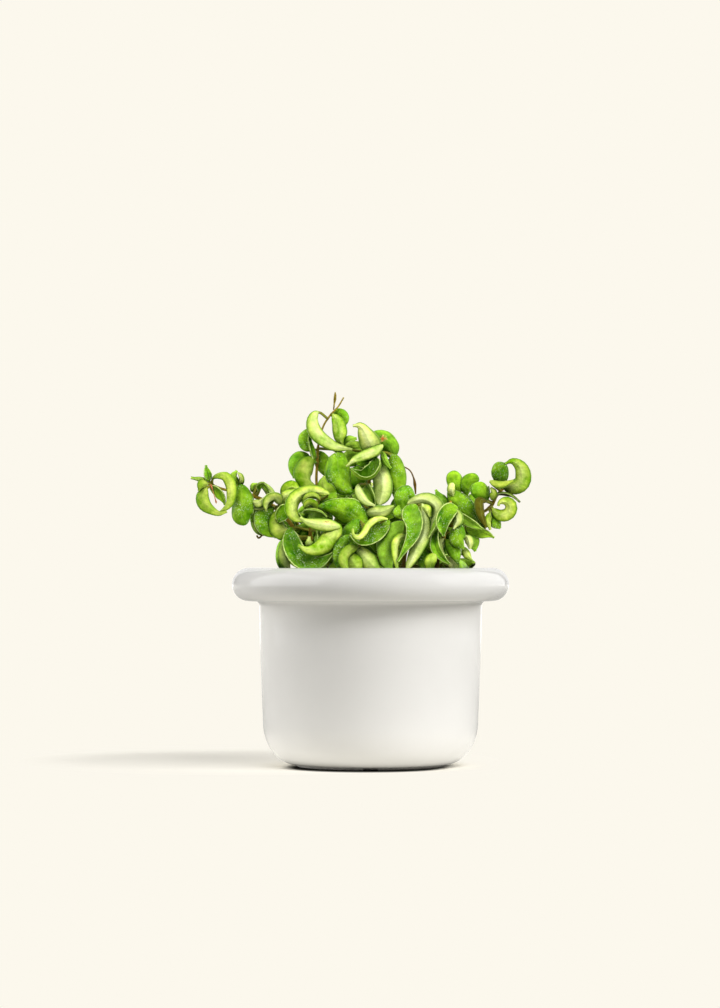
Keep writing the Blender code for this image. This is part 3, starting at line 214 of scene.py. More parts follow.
# To the object the floor is greyer and gives off a glow, fading with distance, that stands in for
# light bounced off it; the object's gloss sees a little more glow, a painted reflection
rays = add_node(tree, "LightPath").outputs
bounce = product(tree, ranged(tree, far, 0.058, 0.080, smooth=True),
                 ranged(tree, far, 0.09, 0.32, 0.66, 0.02, smooth=True))
in_gloss = product(tree, rays["Is Glossy Ray"], ranged(tree, far, 0.35, 2.0, 0.0, 0.4, smooth=True))
given_off = blended(tree, rays["Is Camera Ray"], computed(tree, "ADD", bounce, in_gloss), glow)
tree.links.new(blended(tree, rays["Is Camera Ray"], paint(170, 170, 166), lit_part),
               shader.inputs["Base Color"])
tree.links.new(blended(tree, given_off, grey(0.0), ROOM_WHITE), shader.inputs["Emission Color"])
shader.inputs["Emission Strength"].default_value = 1.0
floor_mesh.materials.append(material)


# Pot
# A thrown and turned ceramic pot, glazed a warm white inside and out, with a fat rolled rim
# and a low unglazed foot. The foot has one small notch at the front that lets water out.
POT_HEIGHT = 0.150
RIM_RADIUS = 0.105
RIM_HEIGHT = 0.025
RIM_INNER_ROUNDING = 0.009
BODY_TOP_RADIUS = 0.0844
BODY_LOWER_RADIUS = 0.0815
CORNER_WIDTH = 0.0235
CORNER_HEIGHT = 0.032
FOOT_RADIUS = 0.056
FOOT_HEIGHT = 0.0018
FOOT_CHAMFER = 0.0006
FILLET_RADIUS = 0.0035
WALL = 0.0085
POT_FLOOR = 0.009
INNER_CORNER = 0.024
NOTCH = (0.011, 0.007, 0.0014)
LOWER_BODY = (BODY_LOWER_RADIUS + 0.0012, 0.062)
UPPER_BODY = (BODY_TOP_RADIUS - 0.0003, 0.100)
POT_SEGMENTS = 192
SHARP_EDGE = math.radians(35)


def arc(centre, width, height, start, end, steps):
    """Points of an arc in a profile, angles in degrees."""
    angles = [math.radians(start + (end - start) * step / steps) for step in range(steps + 1)]
    return [(centre[0] + width * math.cos(angle), centre[1] + height * math.sin(angle))
            for angle in angles]


def turned(profile, segments):
    """A closed turned solid; the profile runs from the axis at the bottom round to the axis."""
    vertices = []
    rings = []
    for radius, height in profile:
        if radius < 1e-6:
            rings.append([len(vertices)])
            vertices.append(Vector((0.0, 0.0, height)))
            continue
        rings.append(list(range(len(vertices), len(vertices) + segments)))
        for segment in range(segments):
            angle = 2 * math.pi * segment / segments
            vertices.append(Vector((radius * math.cos(angle), radius * math.sin(angle), height)))
    faces = []
    for low, high in zip(rings, rings[1:]):
        for segment in range(segments):
            after = (segment + 1) % segments
            if len(low) == 1:
                faces.append((low[0], high[after], high[segment]))
            elif len(high) == 1:
                faces.append((low[segment], low[after], high[0]))
            else:
                faces.append((low[segment], low[after], high[after], high[segment]))
    return vertices, faces


def new_piece(name, vertices, faces, materials):
    """An object of the model from plain vertices and faces, shaded smooth."""
    mesh = bpy.data.meshes.new(name)
    mesh.from_pydata([tuple(vertex) for vertex in vertices], [], faces)
    for one in materials:
        mesh.materials.append(one)
    mesh.shade_smooth()
    piece = bpy.data.objects.new(name, mesh)
    bpy.context.scene.collection.objects.link(piece)
    return piece


def outer_wall():
    """Profile from the middle of the underside, up the body and over the rim."""
    half = RIM_HEIGHT / 2
    rim_foot = POT_HEIGHT - RIM_HEIGHT
    corner_top = CORNER_HEIGHT + FOOT_HEIGHT
    fillet_foot = rim_foot - FILLET_RADIUS
    points = [(0.0, 0.0), (FOOT_RADIUS * 0.6, 0.0), (FOOT_RADIUS - FOOT_CHAMFER, 0.0),
              (FOOT_RADIUS, FOOT_CHAMFER), (FOOT_RADIUS, FOOT_HEIGHT)]
    points += arc((BODY_LOWER_RADIUS - CORNER_WIDTH, corner_top), CORNER_WIDTH, CORNER_HEIGHT, -90, 0, 20)
    points += [LOWER_BODY, UPPER_BODY, (BODY_TOP_RADIUS, fillet_foot)]
    points += arc((BODY_TOP_RADIUS + FILLET_RADIUS, fillet_foot), FILLET_RADIUS, FILLET_RADIUS,
                  180, 90, 6)[1:]
    points += arc((RIM_RADIUS - half, rim_foot + half), half, half, -90, 90, 32)
    inner = BODY_TOP_RADIUS - WALL + RIM_INNER_ROUNDING
    points += arc((inner, POT_HEIGHT - RIM_INNER_ROUNDING), RIM_INNER_ROUNDING, RIM_INNER_ROUNDING,
                  90, 180, 10)
    return points


def inner_wall():
    """Profile of the pot's inside, from the rim down to the middle of the floor."""
    low = BODY_LOWER_RADIUS - WALL
    corner = arc((low - INNER_CORNER, POT_FLOOR + INNER_CORNER), INNER_CORNER, INNER_CORNER, 0, -90, 10)
    return [(BODY_TOP_RADIUS - WALL, POT_HEIGHT - RIM_HEIGHT)] + corner + [(0.0, POT_FLOOR)]


def uneven_tone():
    """A shader group that many finishes use: cloudy variation over the surface, from 0 to 1."""
    group = bpy.data.node_groups.new("uneven_tone", "ShaderNodeTree")
    for name, kind in (("Place", "NodeSocketVector"), ("Scale", "NodeSocketFloat"),
                       ("Detail", "NodeSocketFloat"), ("Contrast", "NodeSocketFloat")):
        group.interface.new_socket(name=name, in_out="INPUT", socket_type=kind)
    group.interface.new_socket(name="Tone", in_out="OUTPUT", socket_type="NodeSocketFloat")
    given = group.nodes.new("NodeGroupInput").outputs
    result = group.nodes.new("NodeGroupOutput")
    cloud = add_node(group, "TexNoise", {"Vector": given["Place"], "Scale": given["Scale"],
                                         "Detail": given["Detail"], "Roughness": 0.55})
    lifted = computed(group, "SUBTRACT", cloud.outputs[0], 0.5)
    spread = computed(group, "MULTIPLY", lifted, given["Contrast"])
    tone = add_node(group, "Math", {0: spread, 1: 0.5}, operation="ADD", use_clamp=True).outputs[0]
    group.links.new(tone, result.inputs["Tone"])
    return group


uneven = uneven_tone()


def tone_of(tree, place, scale, detail=3.0, contrast=1.6):
    """Places the uneven_tone group in a material."""
    made = tree.nodes.new("ShaderNodeGroup")
    made.node_tree = uneven
    tree.links.new(place, made.inputs["Place"])
    made.inputs["Scale"].default_value = scale
    made.inputs["Detail"].default_value = detail
    made.inputs["Contrast"].default_value = contrast
    return made.outputs["Tone"]


def relief(tree, height, strength, depth, under=None):
    """Low relief on a surface, raised where a tone is high; it may lie on other relief."""
    inputs = {"Height": height, "Strength": strength, "Distance": depth}
    if under is not None:
        inputs["Normal"] = under
    return add_node(tree, "Bump", inputs).outputs["Normal"]


def dress(tree, shader, colour, normal, roughness=None):
    """Joins a finish's colour, relief and roughness to its shader."""
    tree.links.new(colour, shader.inputs["Base Color"])
    tree.links.new(normal, shader.inputs["Normal"])
    if roughness is not None:
        tree.links.new(roughness, shader.inputs["Roughness"])


material, tree, shader, place = new_material("white_glaze", 0.1)
height = add_node(tree, "SeparateXYZ", {0: place}).outputs["Z"]
glaze = blended(tree, tone_of(tree, place, 14.0), paint(231, 229, 225), paint(237, 235, 231))
bare = ranged(tree, height, FOOT_HEIGHT, FOOT_HEIGHT - FOOT_CHAMFER, smooth=True)
grit = tone_of(tree, place, 2600.0, 2.0, 2.0)
biscuit = blended(tree, grit, paint(204, 201, 194), paint(226, 223, 216))
polish = computed(tree, "ADD", ranged(tree, tone_of(tree, place, 60.0), 0.0, 1.0, 0.07, 0.13),
                  product(tree, bare, 0.6))
dimple = relief(tree, tone_of(tree, place, 70.0, 2.0), 0.25, 0.0002)
peel = relief(tree, tone_of(tree, place, 900.0, 1.0), 0.12, 0.00005, dimple)
dress(tree, shader, blended(tree, bare, glaze, biscuit), peel, polish)
white_glaze = material

pot = new_piece("glazed_pot", *turned(outer_wall() + inner_wall(), POT_SEGMENTS), [white_glaze])
corners = [(x * NOTCH[0] / 2, y * NOTCH[1] - FOOT_RADIUS, z * NOTCH[2])
           for z in (-1, 1) for x, y in ((-1, -1), (1, -1), (1, 1), (-1, 1))]
sides = [(3, 2, 1, 0), (4, 5, 6, 7), (0, 1, 5, 4), (1, 2, 6, 5), (2, 3, 7, 6), (3, 0, 4, 7)]
cutter = new_piece("notch_cutter", corners, sides, [])
cut = pot.modifiers.new("notch", "BOOLEAN")
cut.operation = "DIFFERENCE"
cut.object = cutter
bpy.context.view_layer.update()
pot.data = bpy.data.meshes.new_from_object(pot.evaluated_get(bpy.context.evaluated_depsgraph_get()))
pot.modifiers.clear()
bpy.data.objects.remove(cutter, do_unlink=True)
pot.data.set_sharp_from_angle(angle=SHARP_EDGE)
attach(pot, "root")
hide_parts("pot")


# Potting mix
# A coarse mix of bark, peat and a little perlite that fills the pot to a finger's width
# below the rim. It is loose, with a lumpy top, and each stem goes down into it.
SOIL_TOP = 0.133
SOIL_EDGE = BODY_TOP_RADIUS - WALL - 0.0005
SOIL_SEGMENTS = 120
SOIL_TOP_RINGS = 34
# Room that the mix leaves under it, beside the pot's wall, and at its own upper edge
UNDER_GAP = 0.0003
SIDE_GAP = 0.0006
EDGE_GAP = 0.0003
TOP_GAP = 0.0004
# The wall is followed up to one level; the edge of the top is rounded from another
WALL_PART_TOP = SOIL_TOP - 0.006
EDGE_LEVEL = SOIL_TOP - 0.0045
EDGE_FALL = 0.0040
# The top has lumps, and crumbs on them, and lies a little lower on average
SETTLED = 0.0012
LUMP_SCALE = 55.0
LUMP_HEIGHT = 0.0011
CRUMB_SCALE = 320.0
CRUMB_HEIGHT = 0.0004


def soil_height(x, y):
    """Height of the mix's lumpy top."""
    here = Vector((x, y, 0.0))
    lump = noise.fractal(here * LUMP_SCALE, 0.6, 2.0, 4)
    crumb = noise.noise(here * CRUMB_SCALE)
    return SOIL_TOP - SETTLED + LUMP_HEIGHT * lump + CRUMB_HEIGHT * crumb


material, tree, shader, place = new_material("potting_mix", 0.95)
crumbs = tone_of(tree, place, 420.0, 4.0, 2.4)
peat = blended(tree, crumbs, paint(44, 30, 20), paint(98, 72, 50))
fibre = tone_of(tree, place, 90.0, 5.0, 2.0)
dress(tree, shader, blended(tree, fibre, peat, paint(70, 50, 33), "OVERLAY"),
      relief(tree, crumbs, 0.9, 0.0008))
peat_mix = material

bottom = POT_FLOOR + UNDER_GAP
side = [point for point in reversed(inner_wall()[:-1]) if point[1] < WALL_PART_TOP]
profile = [(0.0, bottom)]
profile += [(radius - SIDE_GAP, max(height, bottom)) for radius, height in side]
profile.append((SOIL_EDGE - EDGE_GAP, EDGE_LEVEL))
first_top = 1 + (len(profile) - 1) * SOIL_SEGMENTS
profile += [(SOIL_EDGE * (1 - ring / SOIL_TOP_RINGS) - TOP_GAP, SOIL_TOP)
            for ring in range(SOIL_TOP_RINGS)]
profile += [(0.0, SOIL_TOP)]
vertices, faces = turned(profile, SOIL_SEGMENTS)
for vertex in vertices[first_top:]:
    inside = min(1.0, (SOIL_EDGE - math.hypot(vertex.x, vertex.y)) / EDGE_FALL)
    lumpy = soil_height(vertex.x, vertex.y)
    vertex.z = SOIL_TOP - EDGE_FALL + (lumpy - SOIL_TOP + EDGE_FALL) * inside
soil = new_piece("peat_and_bark", vertices, faces, [peat_mix])
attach(soil, "root")
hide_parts("potting_mix")


def point_value(tree, name):
    """A value that a piece has at each of its points, for its finish to read."""
    return add_node(tree, "Attribute", attribute_name=name).outputs["Fac"]


def set_point_values(piece, name, values):
    """Gives a piece such a value at each point."""
    piece.data.attributes.new(name, "FLOAT", "POINT").data.foreach_set("value", values)


material, tree, shader, place = new_material("bark_chip", 0.85)
grain = tone_of(tree, place, 700.0, 4.0, 2.2)
wood = blended(tree, point_value(tree, "chip_tone"), paint(52, 34, 22), paint(140, 104, 72))
dress(tree, shader, blended(tree, product(tree, grain, 0.5), wood, paint(30, 20, 13)),
      relief(tree, grain, 0.7, 0.0004))
bark_chip = material

material, tree, shader, place = new_material("perlite", 0.9)
pores = tone_of(tree, place, 1500.0, 3.0, 2.0)
dress(tree, shader, blended(tree, pores, paint(188, 182, 168), paint(236, 232, 222)),
      relief(tree, pores, 0.8, 0.0003))
perlite = material


BIT_MARGIN = 0.005


def scattered(name, count, sizes, flatness, finish, seed):
    """Loose twelve-cornered bits half sunk in the top of the mix, joined into one piece."""
    chance = random.Random(seed)
    vertices = []
    faces = []
    tones = []
    ring = [(0.9, 0.0), (0.28, 0.85), (-0.72, 0.53), (-0.72, -0.53), (0.28, -0.85)]
    places = [(0.0, 0.0, 1.0)] + [(x, y, 0.45) for x, y in ring]
    places += [(-x, -y, -0.45) for x, y in ring[3:] + ring[:3]] + [(0.0, 0.0, -1.0)]
    corners = [Vector(place).normalized() for place in places]
    sides = ([(0, 1 + k, 1 + (k + 1) % 5) for k in range(5)]
             + [(1 + k, 6 + k, 1 + (k + 1) % 5) for k in range(5)]
             + [(1 + (k + 1) % 5, 6 + k, 6 + (k + 1) % 5) for k in range(5)]
             + [(11, 6 + (k + 1) % 5, 6 + k) for k in range(5)])
    for bit in range(count):
        radius = (SOIL_EDGE - BIT_MARGIN) * math.sqrt(chance.random())
        angle = chance.uniform(0, 2 * math.pi)
        size = chance.uniform(*sizes)
        x = radius * math.cos(angle)
        y = radius * math.sin(angle)
        turn = Matrix.Rotation(chance.uniform(0, 2 * math.pi), 3, "Z")
        turn = turn @ Matrix.Rotation(chance.uniform(-0.5, 0.5), 3, "X")
        shape = Matrix.Diagonal((1.0, chance.uniform(0.45, 0.8), flatness * chance.uniform(0.7, 1.2)))
        middle = Vector((x, y, soil_height(x, y)))
        first = len(vertices)
        for corner in corners:
            rough = corner * chance.uniform(0.72, 1.1)
            vertices.append(middle + turn @ (shape @ rough) * size)
        faces += [tuple(first + index for index in side) for side in sides]
        tones += [chance.random()] * len(corners)
    piece = new_piece(name, vertices, faces, [finish])
    set_point_values(piece, "chip_tone", tones)
    piece.data.shade_flat()
    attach(piece, "root")


scattered("bark_chips", count=620, sizes=(0.0012, 0.0042), flatness=0.38, finish=bark_chip, seed=21)
scattered("perlite_grains", count=90, sizes=(0.0007, 0.0017), flatness=0.8, finish=perlite, seed=22)


# Stems
# Fourteen cuttings are potted together. Each woody stem rises straight out of the mix and
# then wanders; the two long ones at the sides reach out over the rim and turn up.
MM = 0.001
HOLE_BOTTOM = 0.105
UNDER_STEM = 0.0006
STRAIGHT_TOP = 0.137
STEM_STEPS = 12
COARSE_SIDES = 5
BARK_SIDES = 12

# Place in the mix, route above it, radius at the foot and tip, all in millimetres
STEMS = {
    "crown_stem": ((-31, 2), [
        (-33, 2, 165), (-38, 1, 195), (-41, 0, 215), (-40.5, -1, 230), (-39.6, -2, 243),
        (-35.6, -3, 258), (-30, -3, 266.5), (-24.5, -3, 272.5), (-20.3, -3, 279.5)], 2.0, 0.55),
    "second_stem": ((6, 4), [(4, 2, 165), (1, -2, 190), (-1, -5, 210), (0, -6, 228), (3, -6, 243)], 2.1, 1.1),
    "left_trailing_stem": ((-48, -6), [
        (-50, -8, 160), (-58, -12, 180), (-70, -16, 194), (-83, -19, 202), (-96, -22, 207),
        (-110, -26, 209), (-123, -28, 214)], 2.1, 0.9),
    "right_trailing_stem": ((44, 0), [
        (48, -2, 160), (58, -10, 178), (70, -20, 189), (82, -27, 191), (90, -32, 196), (95, -34, 205),
        (101, -35, 211)], 2.1, 0.9),
    "left_front_stem": ((-40, -30), [
        (-43, -35, 155), (-45, -38, 175), (-42, -37, 192), (-38, -33, 204)], 2.0, 1.1),
    "centre_front_stem": ((-10, -40), [
        (-9, -45, 155), (-7, -48, 170), (-4, -47, 183)], 2.0, 1.1),
    "right_front_stem": ((24, -38), [
        (25, -43, 155), (28, -46, 172), (31, -44, 186), (33, -40, 197)], 2.0, 1.1),
    "right_side_stem": ((48, -28), [
        (50, -36, 154), (54, -42, 170), (57, -41, 186), (60, -35, 200)], 2.0, 1.1),
    "back_left_stem": ((-36, 36), [(-44, 44, 158), (-54, 49, 178), (-62, 48, 196)], 2.0, 1.1),
    "back_centre_stem": ((-4, 44), [(-6, 54, 160), (-8, 58, 182), (-10, 54, 204)], 2.0, 1.1),
    "back_right_stem": ((34, 36), [(44, 44, 158), (54, 48, 176), (64, 44, 192)], 2.0, 1.1),
    "middle_stem": ((-8, 20), [(-9, 22, 165), (-6, 22, 192), (0, 20, 214)], 2.0, 1.1),
    "middle_left_stem": ((-28, -14), [(-26, -16, 158), (-22, -18, 180)], 2.0, 1.2),
    "middle_right_stem": ((26, 8), [(30, 8, 160), (36, 6, 184), (38, 4, 198)], 2.0, 1.2),
}
# Twigs that grow from a stem: stem, route in millimetres, radius at each point
TWIGS = [
    ("crown_stem", [(-28, -3, 270), (-27.5, -3, 274.5), (-27, -3, 278), (-26.8, -3, 281), (-26.8, -3, 283.6)],
     [0.55, 0.6, 1.15, 1.0, 0.35]),
    ("second_stem", [(1, -5, 226), (12, 1, 229), (22, 0, 228), (26, -2, 226.5), (30, -4, 223.8),
                     (32.6, -5, 218.5), (33.6, -6, 213.5), (34.2, -7, 206)],
     [0.8, 0.6, 0.5, 0.5, 0.5, 0.6, 1.25, 0.5]),
    ("left_trailing_stem", [(-79, -19, 200), (-79, -25, 184), (-80, -27, 177), (-84, -27, 172.5),
                            (-85.5, -27, 174.5)], [0.7, 0.7, 0.7, 0.7, 0.7]),
]


def smooth_route(points, per_span=10):
    """Centripetal Catmull-Rom curve through the points; returns samples and each point's index."""
    points = [Vector(point) for point in points]
    ends = [points[0] * 2 - points[1]] + points + [points[-1] * 2 - points[-2]]
    samples = []
    marks = []
    for span in range(len(points) - 1):
        p0, p1, p2, p3 = ends[span:span + 4]
        t1 = (p1 - p0).length ** 0.5
        t2 = t1 + (p2 - p1).length ** 0.5
        t3 = t2 + (p3 - p2).length ** 0.5
        marks.append(len(samples))
        for step in range(per_span):
            t = t1 + (t2 - t1) * step / per_span
            a1 = p0.lerp(p1, t / t1)
            a2 = p1.lerp(p2, (t - t1) / (t2 - t1))
            a3 = p2.lerp(p3, (t - t2) / (t3 - t2))
            b1 = a1.lerp(a2, t / t2)
            b2 = a2.lerp(a3, (t - t1) / (t3 - t1))
            samples.append(b1.lerp(b2, (t - t1) / (t2 - t1)))
    marks.append(len(samples))
    samples.append(points[-1].copy())
    return samples, marks


def distances(samples):
    """Distance along the samples, from the first one."""
    run = [0.0]
    for before, after in zip(samples, samples[1:]):
        run.append(run[-1] + (after - before).length)
    return run


def point_at(samples, run, distance):
    """Point of a sampled route at a distance from its start."""
    distance = min(max(distance, 0.0), run[-1])
    index = 0
    while index < len(run) - 2 and run[index + 1] < distance:
        index += 1
    share = (distance - run[index]) / max(run[index + 1] - run[index], 1e-9)
    return samples[index].lerp(samples[index + 1], share)


def carried_normals(tangents, anchor, facing):
    """A normal for each tangent, turned along the route with no twist from the anchor's."""
    def square(direction, tangent):
        flat = direction - tangent * direction.dot(tangent)
        if flat.length < 0.1:
            flat = tangent.orthogonal()
        return flat.normalized()

    normals = [None] * len(tangents)
    normals[anchor] = square(facing, tangents[anchor])
    for index in range(anchor + 1, len(tangents)):
        normals[index] = square(normals[index - 1], tangents[index])
    for index in range(anchor - 1, -1, -1):
        normals[index] = square(normals[index + 1], tangents[index])
    return normals


def outward(vertices, triangles):
    """The triangles, turned round if they face into the solid."""
    volume = sum(vertices[a].dot(vertices[b].cross(vertices[c])) for a, b, c in triangles)
    if volume < 0:
        return [(a, c, b) for a, b, c in triangles]
    return triangles


def tube(route, radii, sides):
    """Closed round tube along a route, with a radius at each point."""
    tangents = [(after - before).normalized()
                for before, after in zip([route[0]] + route[:-1], route[1:] + [route[-1]])]
    normals = carried_normals(tangents, 0, Vector((1.0, 0.3, 0.0)))
    vertices = []
    for point, tangent, normal, radius in zip(route, tangents, normals, radii):
        side = tangent.cross(normal)
        for corner in range(sides):
            angle = 2 * math.pi * corner / sides
            vertices.append(point + (normal * math.cos(angle) + side * math.sin(angle)) * radius)
    triangles = []
    for ring in range(len(route) - 1):
        for corner in range(sides):
            a = ring * sides + corner
            b = ring * sides + (corner + 1) % sides
            triangles += [(a, b, b + sides), (a, b + sides, a + sides)]
    last = (len(route) - 1) * sides
    for corner in range(1, sides - 1):
        triangles += [(0, corner + 1, corner), (last, last + corner, last + corner + 1)]
    return vertices, outward(vertices, triangles)


def stem_points(place, above):
    """Points of a stem: straight up out of its hole, then along its route."""
    levels = (HOLE_BOTTOM + UNDER_STEM, SOIL_TOP, STRAIGHT_TOP)
    upright = [Vector((place[0] * MM, place[1] * MM, level)) for level in levels]
    return upright + [Vector(point) * MM for point in above]


# The bark is brown on a stem's old part and olive on its young part, and a painted shade darkens it low down,
# near the mix
material, tree, shader, place = new_material("stem_bark", 0.7)
shader.inputs["Specular IOR Level"].default_value = 0.2
streak = tone_of(tree, place, 420.0, 4.0, 2.2)
old = blended(tree, streak, paint(76, 56, 6), paint(150, 114, 40))
young = blended(tree, streak, paint(118, 98, 8), paint(190, 168, 60))
height = add_node(tree, "SeparateXYZ", {0: place}).outputs["Z"]
painted_low_shade = ranged(tree, height, 0.19, 0.15, 0.0, 0.75)
bark = blended(tree, painted_low_shade, blended(tree, point_value(tree, "along"), old, young), paint(34, 30, 8))
dress(tree, shader, bark, relief(tree, streak, 0.6, 0.0003))
stem_bark = material


# Leaves
# Thick waxy leaves in opposite pairs. Each is folded along its midrib and curled over, so that
# many show their pale underside, and it grows from the stem on a short round stalk.
# Form of a leaf, in metres, or as a share of its length or its half width
LEAF_THICKNESS = 0.0019
TIP_THINNING = 0.4
STALK_RADIUS = 0.0010
STALK_HALF_DEPTH = 0.00087
BLADE_START = 0.16
BASE_FALL = 2.2
BASE_ROUNDING = 0.6
ANCHOR_SHARE = 0.19
BEND_WINDOW = 0.10
HEADING_REACH = 0.02
BEND_ROOM = 0.85
CREASE = 0.10
MARGIN_WAVE = 0.10
WAVES = 1.6
WAVE_OFFSET = 1.7
WAVE_STEP = 0.9
# Where leaves go: joints on the stem, and the clearance from other stems, in metres; how far a
# leaf bows forward and the steps that it is moved by to be clear, in millimetres
CLEARANCE = 0.00035
BOW = 3.0
SHIFT = 1.5
LOWEST_JOINT = SOIL_TOP + 0.008
END_SAMPLES = 4
# A leaf with a large half width in millimetres, or a long route, gets more sections
LARGE_HALF_WIDTH = 6.5
SMALL_HALF_WIDTH = 3.3
MOST_SHORT_POINTS = 5
